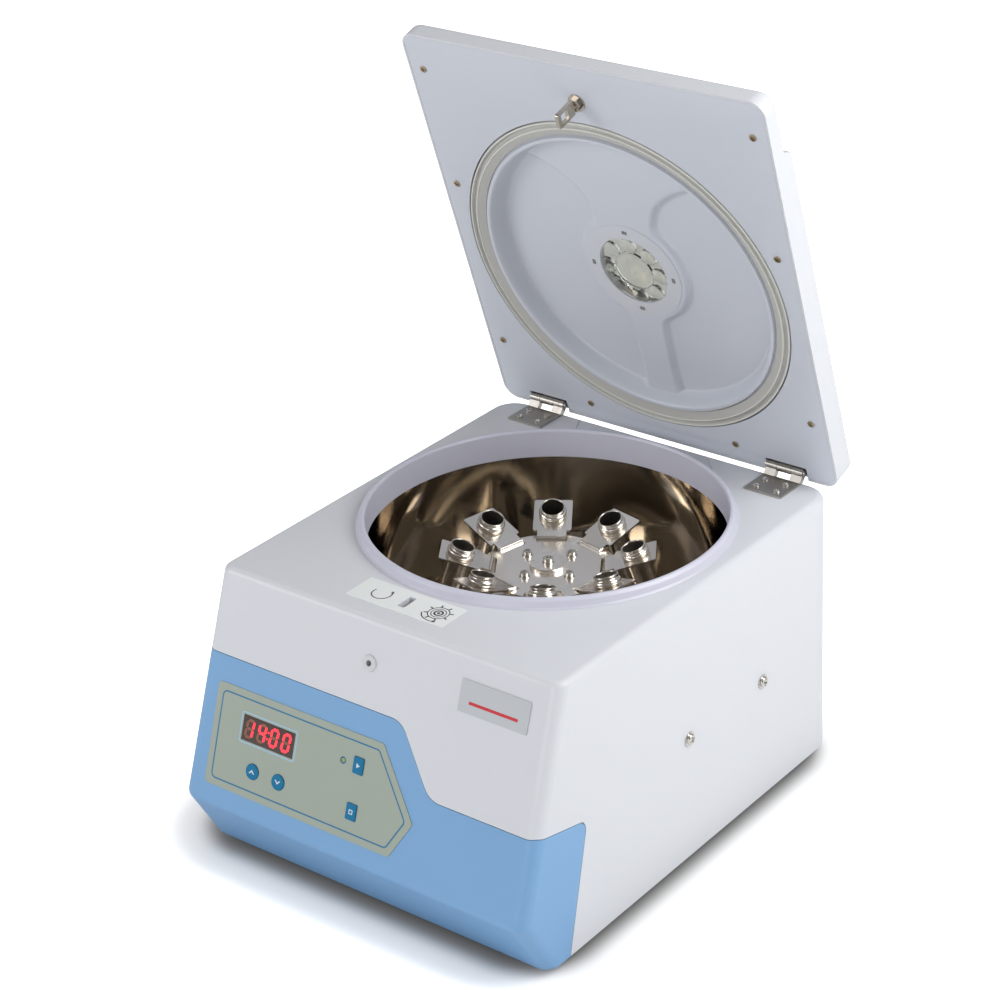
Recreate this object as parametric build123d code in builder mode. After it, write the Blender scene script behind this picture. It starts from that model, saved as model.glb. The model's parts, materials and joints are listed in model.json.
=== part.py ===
from build123d import *
import math
import os

os.makedirs("parts", exist_ok=True)

# ---------------------------------------------------------------------------
# Bench-top swing-out centrifuge. Millimetres. +Z up, front towards -Y.
# Origin: where the rotor's axis meets the bench.
# ---------------------------------------------------------------------------

# Housing
FOOT_H = 8.0            # rubber feet lift the housing off the bench
TOP_Z = 235.0           # flat top of the housing
HALF_W_BOTTOM = 166.5   # the side walls lean in towards the top
HALF_W_TOP = 162.0
REAR_Y = 164.0
FRONT_TOP_Y = -202.0    # top edge of the sloping front
FOLD_Y = -261.5         # lower edge of the sloping front
FOLD_Z = 59.5
FRONT_BOTTOM_Y = -231.0 # the front undercuts below the fold
WALL = 5.0
SKIN = 2.5              # thickness of the coloured front panel
GAP = 0.3
WELL_DEPTH = 0.6        # shallow well in the top, between the hinges

# Chamber
BOWL_R = 143.9
BOWL_T = 1.0
BOWL_TOP_Z = 218.5
BOWL_FLOOR_Z = 96.0
OPENING_R = 146.8
COLLAR_R = 142.6
COLLAR_TOP_Z = 243.2

# Rotor and buckets
PHASE = 123.1           # direction of bucket 1 about +Z
DISC_Z = 192.0          # top face of the rotor disc
DISC_T = 2.0
DISC_R = 53.0
PIVOT_R = 45.5          # swing axis of each bucket
PIVOT_Z = DISC_Z + 1.2
REST_TILT = 18.0        # plates rest with the outer edge up
PLATE_T = 1.5
NECK_S = 25.5           # shield axis, measured out along the plate
SHIELD_R = 9.9
TUBE_R = 8.8
SHIELD_DROP = 83.0      # depth of a tube shield below its plate
SHAFT_R = 6.0

# Lid
HINGE_Y = 162.6
HINGE_Z = TOP_Z + 8.0
LID_OPEN = 71.3         # the lid stands open by this angle
LID_FACE = 0.85         # inner face of the closed lid above the hinge axis
LID_HALF_W = 165.5
LID_REAR = 8.2
LID_FRONT = -365.0
LID_T = 25.5
LID_FRONT_T = 17.0
LID_STEP = -307.0
LID_MID = -162.6        # lid centre over the rotor's axis when it is shut
SEAL_R = 148.7
SEAL_W = 14.0
HINGE_X = 118.0
STRIKER_X = -4.5
STRIKER_Y = -331.3

# Front face: local x along X, local y up the slope, z out of the face
LEAN = math.atan2(FRONT_TOP_Y - FOLD_Y, TOP_Z - FOLD_Z)
FRONT = Plane(
    origin=(0, FRONT_TOP_Y, TOP_Z),
    x_dir=(1, 0, 0),
    z_dir=(0, -math.cos(LEAN), math.sin(LEAN)),
)

# Lid, drawn as if shut and then swung open about the hinge
open_rad = math.radians(LID_OPEN)
LID = Plane(
    origin=(0, HINGE_Y, HINGE_Z),
    x_dir=(1, 0, 0),
    z_dir=(0, math.sin(open_rad), math.cos(open_rad)),
)

# Controls on the sloping front: x and distance up the slope (negative is down)
KEY_UP = (-99.0, -147.6)
KEY_DOWN = (-73.0, -147.6)
KEY_START = (-0.5, -111.0)
KEY_STOP = (-0.5, -147.2)
LED_AT = (-15.5, -111.3)
DISPLAY_AT = (-89.2, -115.9)
DISPLAY_SIZE = (51.5, 20.0)
ROUND_KEY_R = 6.2
SQUARE_KEY = (9.6, 13.0)
BUSH_AT = (-6.0, -33.0)
NAME_PLATE_AT = (109.4, -31.0)
NAME_PLATE_SIZE = (62.0, 24.5)
BOARD_DEPTH = 13.0      # front of the control board behind the front face

SIDE_SCREWS_Y = (-46.0, 57.0)
SIDE_SCREWS_Z = 112.5
FEET = [(-132.0, -196.0), (132.0, -196.0), (-132.0, 128.0), (132.0, 128.0)]

INLET_X = -104.0
SWITCH_X = -66.0
FUSE_X = -38.0
REAR_PARTS_Z = 46.0
SOCKET = [(-12, -8), (12, -8), (12, 4), (8, 8), (-8, 8), (-12, 4)]


def write(builder, name):
    """Label a finished piece and write it as one STEP file."""
    builder.part.label = name
    export_step(builder.part, f"parts/{name}.step")


def body_form(inset):
    """Solid form of the housing with every face moved inwards by inset."""
    with BuildPart() as form:
        with BuildSketch(Plane.YZ):
            with BuildLine():
                Polyline(
                    (REAR_Y, FOOT_H),
                    (REAR_Y, TOP_Z),
                    (FRONT_TOP_Y, TOP_Z),
                    (FOLD_Y, FOLD_Z),
                    (FRONT_BOTTOM_Y, FOOT_H),
                    close=True,
                )
            make_face()
            if inset > 0:
                offset(amount=-inset, kind=Kind.INTERSECTION, mode=Mode.REPLACE)
        extrude(amount=HALF_W_BOTTOM + 5, both=True)
        with BuildSketch(Plane.XZ):
            with BuildLine():
                Polyline(
                    (-HALF_W_BOTTOM + inset, FOOT_H),
                    (HALF_W_BOTTOM - inset, FOOT_H),
                    (HALF_W_TOP - inset, TOP_Z),
                    (-HALF_W_TOP + inset, TOP_Z),
                    close=True,
                )
            make_face()
        extrude(amount=300, both=True, mode=Mode.INTERSECT)
        fold = form.edges().filter_by(Axis.X).filter_by(
            lambda e: e.center().Y < FOLD_Y + 2 * inset + 3 and e.center().Z > 40
        )
        fillet(fold, radius=8)
        rear = form.edges().filter_by(
            lambda e: abs(e.center().X) > 140 and e.center().Y > REAR_Y - inset - 1
            and 60 < e.center().Z < 200
        )
        fillet(rear, radius=22 - inset)
        front = form.edges().filter_by(
            lambda e: abs(e.center().X) > 140 and e.center().Y < -200
            and FOOT_H + inset + 1 < e.center().Z < TOP_Z - inset - 1
        )
        fillet(front, radius=11 - inset)
        if inset == 0:
            fillet(form.edges().group_by(Axis.Z)[-1], radius=6)
    return form.part


def panel_region(grow):
    """Space taken by the wrap-round front panel, with its edge moved out by grow."""
    with BuildPart() as region:
        with BuildSketch(Plane.XZ.offset(150)) as front_outline:
            with BuildLine():
                Polyline(
                    (-180, 0),
                    (-180, 171.5 + grow),
                    (31, 171.5 + grow),
                    (66.6, 124.5 + grow),
                    (180, 124.5 + grow),
                    (180, 0),
                    close=True,
                )
            make_face()
            fillet(front_outline.vertices().filter_by(lambda v: 0 < v.X < 80), radius=19)
        extrude(amount=130)
        with BuildSketch(Plane.YZ):
            with BuildLine():
                Polyline((-290, -5), (-209.5 + grow, -5), (-181 + grow, 103 + grow))
                ThreePointArc((-181 + grow, 103 + grow), (-182.3 + grow, 109.3 + grow),
                              (-188 + grow, 114 + grow))
                Polyline((-188 + grow, 114 + grow), (-204 + grow, 180), (-290, 180), (-290, -5))
            make_face()
        extrude(amount=190, both=True, mode=Mode.INTERSECT)
        with BuildSketch(Plane.YZ.offset(152)):
            with BuildLine():
                Polyline(
                    (-242, 126 + grow),
                    (-188, 113.5 + grow),
                    (-150, 105 + grow),
                    (-150, 200),
                    (-242, 200),
                    close=True,
                )
            make_face()
        extrude(amount=40, mode=Mode.SUBTRACT)
    return region.part


def underside_opening():
    """Open underside of the housing, inside its walls."""
    length = REAR_Y - FRONT_BOTTOM_Y - 2 * WALL - 1
    with BuildPart() as hole:
        with BuildSketch(Plane.XY.offset(FOOT_H - 1)):
            with Locations((0, REAR_Y - WALL - length / 2)):
                RectangleRounded(2 * (HALF_W_BOTTOM - WALL), length, 14)
        extrude(amount=WALL + 2)
    return hole.part


def ring(inner, outer, z0, z1):
    """Plain ring about the rotor's axis."""
    with BuildPart() as band:
        with BuildSketch(Plane.XY.offset(z0)):
            Circle(outer)
            Circle(inner, mode=Mode.SUBTRACT)
        extrude(amount=z1 - z0)
    return band.part


# ---------------------------------------------------------------------------
# Housing: one moulded cover, open underneath
# ---------------------------------------------------------------------------

with BuildPart() as panel_bed:
    add(body_form(0))
    add(body_form(SKIN + 0.2), mode=Mode.SUBTRACT)
    add(panel_region(0.6), mode=Mode.INTERSECT)

SIDE_X = HALF_W_BOTTOM - (HALF_W_BOTTOM - HALF_W_TOP) * (SIDE_SCREWS_Z - FOOT_H) / (TOP_Z - FOOT_H)
HINGE_SCREWS = [
    (side * HINGE_X + dx, y) for side in (-1, 1) for dx in (-9.5, 9.5) for y in (133.5, 147.0)
]

with BuildPart() as housing:
    add(body_form(0))
    add(body_form(WALL), mode=Mode.SUBTRACT)
    add(underside_opening(), mode=Mode.SUBTRACT)
    add(panel_bed.part, mode=Mode.SUBTRACT)
    # chamber opening
    with BuildSketch(Plane.XY.offset(TOP_Z - 20)):
        Circle(OPENING_R)
    extrude(amount=40, mode=Mode.SUBTRACT)
    # shallow well between the hinges, open to the rear edge
    with BuildSketch(Plane.XY.offset(TOP_Z - WELL_DEPTH)):
        with BuildLine():
            Polyline((-86, 175), (-84, 160), (-66, 120), (92, 110), (40, 164), (40, 175), close=True)
        make_face()
    extrude(amount=10, mode=Mode.SUBTRACT)
    # slot for the lid's striker
    with BuildSketch(Plane.XY.offset(TOP_Z - 10)):
        with Locations((STRIKER_X, HINGE_Y + STRIKER_Y)):
            RectangleRounded(6.4, 16, 1.5)
    extrude(amount=20, mode=Mode.SUBTRACT)
    # pilot holes for the hinge screws
    with BuildSketch(Plane.XY.offset(TOP_Z - 8)):
        with Locations(HINGE_SCREWS):
            Circle(1.5)
    extrude(amount=10, mode=Mode.SUBTRACT)
    # keys, lamp, display and release bush
    with BuildSketch(FRONT.offset(-12)):
        with Locations(KEY_UP, KEY_DOWN):
            Circle(ROUND_KEY_R - 1.2)
        with Locations(KEY_START, KEY_STOP):
            RectangleRounded(SQUARE_KEY[0] - 2.4, SQUARE_KEY[1] - 2.4, 1)
        with Locations(LED_AT):
            Circle(2.0)
        with Locations(DISPLAY_AT):
            Rectangle(DISPLAY_SIZE[0] + 0.6, DISPLAY_SIZE[1] + 0.6)
        with Locations(BUSH_AT):
            Circle(4.5)
    extrude(amount=20, mode=Mode.SUBTRACT)
    # screws that hold the cover to the tray
    with BuildSketch(Plane.YZ.offset(-HALF_W_BOTTOM - 5)):
        with Locations(*[(y, SIDE_SCREWS_Z) for y in SIDE_SCREWS_Y]):
            Circle(2.2)
    extrude(amount=2 * HALF_W_BOTTOM + 10, mode=Mode.SUBTRACT)
    # rear openings: inlet, switch, fuse, vents
    with BuildSketch(Plane.XZ.offset(-REAR_Y - 5)):
        with Locations((INLET_X, REAR_PARTS_Z)):
            Rectangle(27.6, 20.4)
        with Locations((SWITCH_X, REAR_PARTS_Z)):
            Rectangle(20.4, 26.4)
        with Locations((FUSE_X, REAR_PARTS_Z)):
            Circle(6.3)
        with Locations((72, 74)):
            with GridLocations(22, 11, 5, 7):
                SlotOverall(17, 4.2)
    extrude(amount=15, mode=Mode.SUBTRACT)
write(housing, "housing_shell")

with BuildPart() as front_panel:
    add(body_form(0))
    add(body_form(SKIN), mode=Mode.SUBTRACT)
    add(underside_opening(), mode=Mode.SUBTRACT)
    add(panel_region(0), mode=Mode.INTERSECT)
    with BuildSketch(FRONT.offset(-12)):
        with Locations(KEY_UP, KEY_DOWN):
            Circle(ROUND_KEY_R - 1.2)
        with Locations(KEY_START, KEY_STOP):
            RectangleRounded(SQUARE_KEY[0] - 2.4, SQUARE_KEY[1] - 2.4, 1)
        with Locations(LED_AT):
            Circle(2.0)
        with Locations(DISPLAY_AT):
            Rectangle(DISPLAY_SIZE[0] + 0.6, DISPLAY_SIZE[1] + 0.6)
    extrude(amount=20, mode=Mode.SUBTRACT)
write(front_panel, "front_panel")

# Membrane overlay stuck on the panel, cut out for the keys
OVERLAY_T = 0.6
with BuildPart() as overlay:
    with BuildSketch(FRONT) as sheet:
        with BuildLine():
            Polyline((-144.6, -87.6), (19, -87.6), (56, -138.7), (38.7, -169.6), (-144.6, -169.6),
                     close=True)
        make_face()
        fillet(sheet.vertices(), radius=3.5)
        with Locations(KEY_UP, KEY_DOWN):
            Circle(ROUND_KEY_R + GAP, mode=Mode.SUBTRACT)
        with Locations(KEY_START, KEY_STOP):
            RectangleRounded(SQUARE_KEY[0] + 2 * GAP, SQUARE_KEY[1] + 2 * GAP, 1.3, mode=Mode.SUBTRACT)
        with Locations(LED_AT):
            Circle(2.1, mode=Mode.SUBTRACT)
        with Locations(DISPLAY_AT):
            Rectangle(DISPLAY_SIZE[0] + 0.4, DISPLAY_SIZE[1] + 0.4, mode=Mode.SUBTRACT)
    extrude(amount=OVERLAY_T)
write(overlay, "control_overlay")

with BuildPart() as window:
    with BuildSketch(FRONT.offset(-1.2)):
        with Locations(DISPLAY_AT):
            Rectangle(*DISPLAY_SIZE)
    extrude(amount=1.2 + OVERLAY_T - 0.1)
write(window, "display_window")

# Four-digit display module on the control board, its face behind the window
with BuildPart() as display:
    with BuildSketch(FRONT.offset(-9.4)):
        with Locations(DISPLAY_AT):
            Rectangle(50.3, 19.0)
    extrude(amount=8.0)
    with BuildSketch(FRONT.offset(-BOARD_DEPTH)):
        with Locations(DISPLAY_AT):
            with GridLocations(2.54, 15.24, 6, 2):
                Circle(0.3)
    extrude(amount=BOARD_DEPTH - 9.4)
write(display, "display_module")

with BuildPart() as led:
    with BuildSketch(FRONT.offset(-9)):
        with Locations(LED_AT):
            Circle(1.7)
    extrude(amount=9.3)
    with BuildSketch(FRONT.offset(-9)):
        with Locations(LED_AT):
            Circle(2.6)
    extrude(amount=1.2)
    with BuildSketch(FRONT.offset(-BOARD_DEPTH)):
        with Locations((LED_AT[0] - 1.27, LED_AT[1]), (LED_AT[0] + 1.27, LED_AT[1])):
            Circle(0.3)
    extrude(amount=BOARD_DEPTH - 9)
write(led, "status_led")

# Each key: a cap in the overlay with a stem down to its switch
KEY_TRAVEL = 0.5


def key_cap(name, at, size):
    with BuildPart() as key:
        with BuildSketch(FRONT.offset(KEY_TRAVEL + 0.1)):
            with Locations(at):
                if size is None:
                    Circle(ROUND_KEY_R)
                else:
                    RectangleRounded(size[0], size[1], 1.2)
        extrude(amount=1.0)
        with BuildSketch(FRONT.offset(-8.6)):
            with Locations(at):
                Circle(2.0)
        extrude(amount=8.6 + KEY_TRAVEL + 0.2)
    write(key, name)


key_cap("key_up", KEY_UP, None)
key_cap("key_down", KEY_DOWN, None)
key_cap("key_start", KEY_START, SQUARE_KEY)
key_cap("key_stop", KEY_STOP, SQUARE_KEY)

with BuildPart() as board:
    with BuildSketch(FRONT.offset(-BOARD_DEPTH - 1.6)):
        with Locations((-58, -128)):
            Rectangle(140, 62)
        with Locations((-58, -128)):
            with GridLocations(130, 52, 2, 2):
                Circle(1.6, mode=Mode.SUBTRACT)
    extrude(amount=1.6)
    # key switches
    with BuildSketch(FRONT.offset(-BOARD_DEPTH)):
        with Locations(KEY_UP, KEY_DOWN, KEY_START, KEY_STOP):
            Rectangle(6, 6)
    extrude(amount=BOARD_DEPTH - 8.6 - KEY_TRAVEL - 0.2)
    # controller, connectors and regulator on the back
    with BuildSketch(FRONT.offset(-BOARD_DEPTH - 1.6)):
        with Locations((-60, -132)):
            Rectangle(14, 14)
        with Locations((-20, -146)):
            Rectangle(22, 7)
        with Locations((-110, -112)):
            Rectangle(12, 9)
    extrude(amount=-5)
    # posts up to the inside of the cover
    with BuildSketch(FRONT.offset(-BOARD_DEPTH)):
        with Locations((-58, -128)):
            with GridLocations(130, 52, 2, 2):
                Circle(3.2)
    extrude(amount=BOARD_DEPTH - WALL - 0.05)
write(board, "control_board")

with BuildPart() as name_plate:
    with BuildSketch(FRONT):
        with Locations(NAME_PLATE_AT):
            RectangleRounded(*NAME_PLATE_SIZE, 1.0)
    extrude(amount=0.8)
write(name_plate, "name_plate")

with BuildPart() as top_label:
    with BuildSketch(Plane.XY.offset(TOP_Z)):
        with Locations((-5.4, HINGE_Y + STRIKER_Y)):
            RectangleRounded(92, 31, 1.0)
        with Locations((STRIKER_X, HINGE_Y + STRIKER_Y)):
            RectangleRounded(6.8, 16.4, 1.6, mode=Mode.SUBTRACT)
    extrude(amount=0.3)
write(top_label, "top_label")

# Bush round the emergency release hole
bush_axis = Axis(FRONT.from_local_coords(Vector(BUSH_AT[0], BUSH_AT[1], 0)), FRONT.z_dir)
with BuildPart() as bush:
    with BuildSketch(FRONT.offset(-9)):
        with Locations(BUSH_AT):
            Circle(4.4)
    extrude(amount=9)
    with BuildSketch(FRONT):
        with Locations(BUSH_AT):
            Circle(6.5)
    extrude(amount=1.3, taper=20)
    with BuildSketch(FRONT.offset(-10)):
        with Locations(BUSH_AT):
            Circle(2.4)
    extrude(amount=15, mode=Mode.SUBTRACT)
write(bush, "release_bush")

# ---------------------------------------------------------------------------
# Base tray, feet and fasteners
# ---------------------------------------------------------------------------
TRAY_Z = 9.0
TRAY_T = 2.0
FLANGE_X = 157.0
with BuildPart() as tray:
    with BuildSketch(Plane.XY.offset(TRAY_Z)):
        with Locations((0, -33)):
            RectangleRounded(320, 382, 18)
        with Locations((0, -30)):
            with GridLocations(0, 14, 1, 5):
                SlotOverall(70, 5, mode=Mode.SUBTRACT)
    extrude(amount=TRAY_T)
    for side in (-1, 1):
        with BuildSketch(Plane.YZ.offset(side * FLANGE_X)):
            with Locations((7, (TRAY_Z + 125) / 2)):
                Rectangle(140, 125 - TRAY_Z)
            with Locations(*[(y, SIDE_SCREWS_Z) for y in SIDE_SCREWS_Y]):
                Circle(2.05, mode=Mode.SUBTRACT)
        extrude(amount=-side * TRAY_T)
write(tray, "base_tray")

with BuildPart() as feet:
    with BuildSketch(Plane.XY):
        with Locations(*FEET):
            Circle(11)
    extrude(amount=TRAY_Z, taper=-6)
write(feet, "rubber_feet")

with BuildPart() as side_screws:
    for side in (-1, 1):
        for y in SIDE_SCREWS_Y:
            with BuildSketch(Plane.YZ.offset(side * (SIDE_X + 0.15))):
                with Locations((y, SIDE_SCREWS_Z)):
                    Circle(6.0)
            extrude(amount=side * 0.8)
            with BuildSketch(Plane.YZ.offset(side * (SIDE_X + 0.9))):
                with Locations((y, SIDE_SCREWS_Z)):
                    Circle(4.4)
            extrude(amount=side * 2.4, taper=18)
            with BuildSketch(Plane.YZ.offset(side * (FLANGE_X - 4))):
                with Locations((y, SIDE_SCREWS_Z)):
                    Circle(2.0)
            extrude(amount=side * (SIDE_X - FLANGE_X + 5))
write(side_screws, "side_screws")

# ---------------------------------------------------------------------------
# Chamber
# ---------------------------------------------------------------------------
BOWL_ROUND = 25.0
with BuildPart() as bowl:
    with BuildSketch(Plane.XZ):
        with BuildLine():
            Line((20, BOWL_FLOOR_Z), (BOWL_R - BOWL_ROUND, BOWL_FLOOR_Z))
            TangentArc((BOWL_R - BOWL_ROUND, BOWL_FLOOR_Z), (BOWL_R, BOWL_FLOOR_Z + BOWL_ROUND),
                       tangent=(1, 0))
            Polyline((BOWL_R, BOWL_FLOOR_Z + BOWL_ROUND), (BOWL_R, BOWL_TOP_Z), (156, BOWL_TOP_Z),
                     (156, BOWL_TOP_Z - BOWL_T), (BOWL_R + BOWL_T, BOWL_TOP_Z - BOWL_T),
                     (BOWL_R + BOWL_T, BOWL_FLOOR_Z + BOWL_ROUND))
            TangentArc((BOWL_R + BOWL_T, BOWL_FLOOR_Z + BOWL_ROUND),
                       (BOWL_R - BOWL_ROUND, BOWL_FLOOR_Z - BOWL_T), tangent=(0, -1))
            Polyline((BOWL_R - BOWL_ROUND, BOWL_FLOOR_Z - BOWL_T), (20, BOWL_FLOOR_Z - BOWL_T),
                     (20, BOWL_FLOOR_Z))
        make_face()
    revolve(axis=Axis.Z)
write(bowl, "chamber_bowl")

# Soft collar clipped round the opening, standing above the housing's top
with BuildPart() as collar:
    with BuildSketch(Plane.XZ):
        with BuildLine():
            Polyline(
                (COLLAR_R, BOWL_TOP_Z), (OPENING_R - 0.3, BOWL_TOP_Z), (OPENING_R - 0.3, TOP_Z),
                (150.6, TOP_Z), (149.2, 237.0), (147.6, 241.2), (146.6, 242.6), (145.3, COLLAR_TOP_Z),
                (144.4, COLLAR_TOP_Z), (143.2, 242.5), (COLLAR_R, 241.2), close=True,
            )
        make_face()
    revolve(axis=Axis.Z)
write(collar, "chamber_collar")

with BuildPart() as supports:
    with BuildSketch(Plane.XY.offset(TRAY_Z + TRAY_T)):
        with PolarLocations(150.8, 4, start_angle=45):
            Circle(5)
    extrude(amount=BOWL_TOP_Z - BOWL_T - TRAY_Z - TRAY_T)
write(supports, "bowl_supports")

# ---------------------------------------------------------------------------
# Drive, hung under the chamber on soft mounts
# ---------------------------------------------------------------------------
MOTOR_TOP_Z = 84.0
POSTS = [(x, y) for x in (-58, 58) for y in (-58, 58)]

with BuildPart() as posts:
    with BuildSketch(Plane.XY.offset(TRAY_Z + TRAY_T)):
        with Locations(*POSTS):
            RegularPolygon(6, 6)
    extrude(amount=66 - TRAY_Z - TRAY_T)
write(posts, "motor_posts")

with BuildPart() as mounts:
    with BuildSketch(Plane.XY.offset(66)):
        with Locations(*POSTS):
            Circle(9)
    extrude(amount=9, taper=12)
    with BuildSketch(Plane.XY.offset(MOTOR_TOP_Z)):
        with Locations(*POSTS):
            Circle(9)
    extrude(amount=-9, taper=12)
write(mounts, "vibration_mounts")

with BuildPart() as motor_plate:
    with BuildSketch(Plane.XY.offset(MOTOR_TOP_Z)):
        Circle(96)
        Circle(22, mode=Mode.SUBTRACT)
        with PolarLocations(62, 6, start_angle=0):
            Circle(9, mode=Mode.SUBTRACT)
    extrude(amount=3)
write(motor_plate, "motor_plate")

with BuildPart() as motor:
    with BuildSketch(Plane.XZ):
        with BuildLine():
            Polyline((13, 20), (44, 20), (48, 24), (48, 80), (44, 84), (13, 84), (13, 78), (31, 78),
                     (31, 26), (13, 26), close=True)
        make_face()
    revolve(axis=Axis.Z)
    with BuildSketch(Plane.XY.offset(28)):
        with PolarLocations(48, 18):
            Rectangle(6, 4)
    extrude(amount=48, mode=Mode.SUBTRACT)
write(motor, "motor_housing")

with BuildPart() as bearings:
    add(ring(SHAFT_R + 0.05, 13, 20, 26))
    add(ring(SHAFT_R + 0.05, 13, 78, 84))
write(bearings, "motor_bearings")

with BuildPart() as boot:
    with BuildSketch(Plane.XZ):
        with BuildLine():
            Polyline((13, 87), (25, 87), (22, 89), (25, 91), (22, 93), (24, 95), (19.8, 95),
                     (19.8, 96), (21, 96), (18, 100), (13, 100), close=True)
        make_face()
    revolve(axis=Axis.Z)
write(boot, "shaft_boot")

# ---------------------------------------------------------------------------
# Lid lock
# ---------------------------------------------------------------------------
LOCK_Y = HINGE_Y + STRIKER_Y
BOLT_Z = 225.5
BOLT_R = 3.0
with BuildPart() as lock:
    with BuildSketch(Plane.XY.offset(206)):
        with Locations((23, LOCK_Y)):
            Rectangle(38, 25)
    extrude(amount=24)
    with BuildSketch(Plane.XY.offset(228.7)):
        with Locations((-5, LOCK_Y)):
            Rectangle(20, 25)
        with Locations((STRIKER_X, LOCK_Y)):
            Rectangle(7, 17, mode=Mode.SUBTRACT)
    extrude(amount=1.3)
    with BuildSketch(Plane.XY.offset(214)):
        with Locations((-13.5, LOCK_Y)):
            Rectangle(3, 25)
    extrude(amount=16)
    with BuildSketch(Plane.YZ.offset(-20)):
        with Locations((LOCK_Y, BOLT_Z)):
            Circle(BOLT_R + 0.06)
    extrude(amount=45, mode=Mode.SUBTRACT)
write(lock, "latch_lock")

with BuildPart() as bolt:
    with BuildSketch(Plane.YZ.offset(1.0)):
        with Locations((LOCK_Y, BOLT_Z)):
            Circle(BOLT_R)
    extrude(amount=22)
    chamfer(bolt.edges().group_by(Axis.X)[0], length=0.8)
write(bolt, "latch_bolt")

# ---------------------------------------------------------------------------
# Rear fittings
# ---------------------------------------------------------------------------
REAR = Plane(origin=(0, REAR_Y, 0), x_dir=(-1, 0, 0), z_dir=(0, 1, 0))

with BuildPart() as inlet:
    with BuildSketch(REAR):
        with Locations((-INLET_X, REAR_PARTS_Z)):
            SlotOverall(50, 24)
    extrude(amount=2.4)
    with BuildSketch(REAR):
        with Locations((-INLET_X, REAR_PARTS_Z)):
            Rectangle(27.2, 20)
    extrude(amount=-22)
    with BuildSketch(REAR.offset(3)):
        with BuildLine():
            Polyline(*[(-INLET_X + x, REAR_PARTS_Z + z) for x, z in SOCKET], close=True)
        make_face()
        with Locations((-INLET_X, REAR_PARTS_Z)):
            with GridLocations(40, 1, 2, 1):
                Circle(1.6)
    extrude(amount=-20, mode=Mode.SUBTRACT)
    with BuildSketch(REAR.offset(-18)):
        with Locations((-INLET_X - 7, REAR_PARTS_Z - 2), (-INLET_X + 7, REAR_PARTS_Z - 2),
                       (-INLET_X, REAR_PARTS_Z + 2)):
            Rectangle(2, 4)
    extrude(amount=14)
    with BuildSketch(REAR.offset(-22)):
        with Locations((-INLET_X, REAR_PARTS_Z)):
            with GridLocations(14, 1, 2, 1):
                Rectangle(0.8, 4.8)
    extrude(amount=-7)
write(inlet, "power_inlet")

# Rocker switch: the rocker pivots on two stub pins inside the frame
ROCKER_TILT = 9.0
ROCKER_Y = REAR_Y - 1.5
PIN_R = 1.5
with BuildPart() as switch_frame:
    with BuildSketch(REAR):
        with Locations((-SWITCH_X, REAR_PARTS_Z)):
            RectangleRounded(24, 30, 1.5)
    extrude(amount=2)
    with BuildSketch(REAR):
        with Locations((-SWITCH_X, REAR_PARTS_Z)):
            Rectangle(20, 26)
    extrude(amount=-18)
    with BuildSketch(REAR.offset(2.5)):
        with Locations((-SWITCH_X, REAR_PARTS_Z)):
            Rectangle(15, 21)
    extrude(amount=-12.5, mode=Mode.SUBTRACT)
    # holes for the rocker's two stub pins
    with BuildSketch(Plane.YZ.offset(SWITCH_X)):
        with Locations((ROCKER_Y, REAR_PARTS_Z)):
            Circle(PIN_R + 0.06)
    extrude(amount=9.1, both=True, mode=Mode.SUBTRACT)
write(switch_frame, "switch_frame")

with BuildPart() as rocker:
    tilt = math.radians(ROCKER_TILT)
    with BuildSketch(Plane(
        origin=(SWITCH_X, ROCKER_Y, REAR_PARTS_Z), x_dir=(0, math.cos(tilt), math.sin(tilt)),
        z_dir=(1, 0, 0),
    )):
        with BuildLine():
            Polyline((-4.6, -3), (-4.6, 3), (1.2, 9.4), (4.8, 9.6), (3.2, 0), (4.8, -9.6), (1.2, -9.4),
                     close=True)
        make_face()
    extrude(amount=7.1, both=True)
    with BuildSketch(Plane.YZ.offset(SWITCH_X)):
        with Locations((ROCKER_Y, REAR_PARTS_Z)):
            Circle(PIN_R)
    extrude(amount=8.8, both=True)
write(rocker, "power_rocker")

with BuildPart() as fuse:
    with BuildSketch(REAR):
        with Locations((-FUSE_X, REAR_PARTS_Z)):
            Circle(8)
    extrude(amount=2)
    with BuildSketch(REAR):
        with Locations((-FUSE_X, REAR_PARTS_Z)):
            Circle(6.1)
    extrude(amount=-30)
    with BuildSketch(REAR.offset(2)):
        with Locations((-FUSE_X, REAR_PARTS_Z)):
            Circle(5.6)
    extrude(amount=4)
    with BuildSketch(REAR.offset(5)):
        with Locations((-FUSE_X, REAR_PARTS_Z)):
            Rectangle(8, 1.4)
    extrude(amount=2, mode=Mode.SUBTRACT)
write(fuse, "fuse_holder")

with BuildPart() as drive:
    with BuildSketch(Plane.XY.offset(TRAY_Z + TRAY_T + 8)):
        with Locations((-112, -22)):
            Rectangle(76, 92)
    extrude(amount=1.6)
    with BuildSketch(Plane.XY.offset(TRAY_Z + TRAY_T)):
        with Locations((-112, -22)):
            with GridLocations(66, 82, 2, 2):
                Circle(3)
    extrude(amount=8)
    with BuildSketch(Plane.XY.offset(TRAY_Z + TRAY_T + 9.6)):
        with Locations((-98, 4)):
            Rectangle(30, 26)
        with Locations((-132, -44)):
            Rectangle(14, 40)
    extrude(amount=26)
    with BuildSketch(Plane.XY.offset(TRAY_Z + TRAY_T + 9.6)):
        with Locations((-108, -38), (-90, -38), (-99, -56)):
            Circle(7.5)
        with Locations((-134, 10)):
            Rectangle(12, 26)
    extrude(amount=18)
write(drive, "drive_board")

# ---------------------------------------------------------------------------
# Hinges
# ---------------------------------------------------------------------------
KNUCKLE_R = 3.8
PIN_R = 1.6
KNUCKLES = [(-17.0, -7.0), (7.0, 17.0)]

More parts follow.
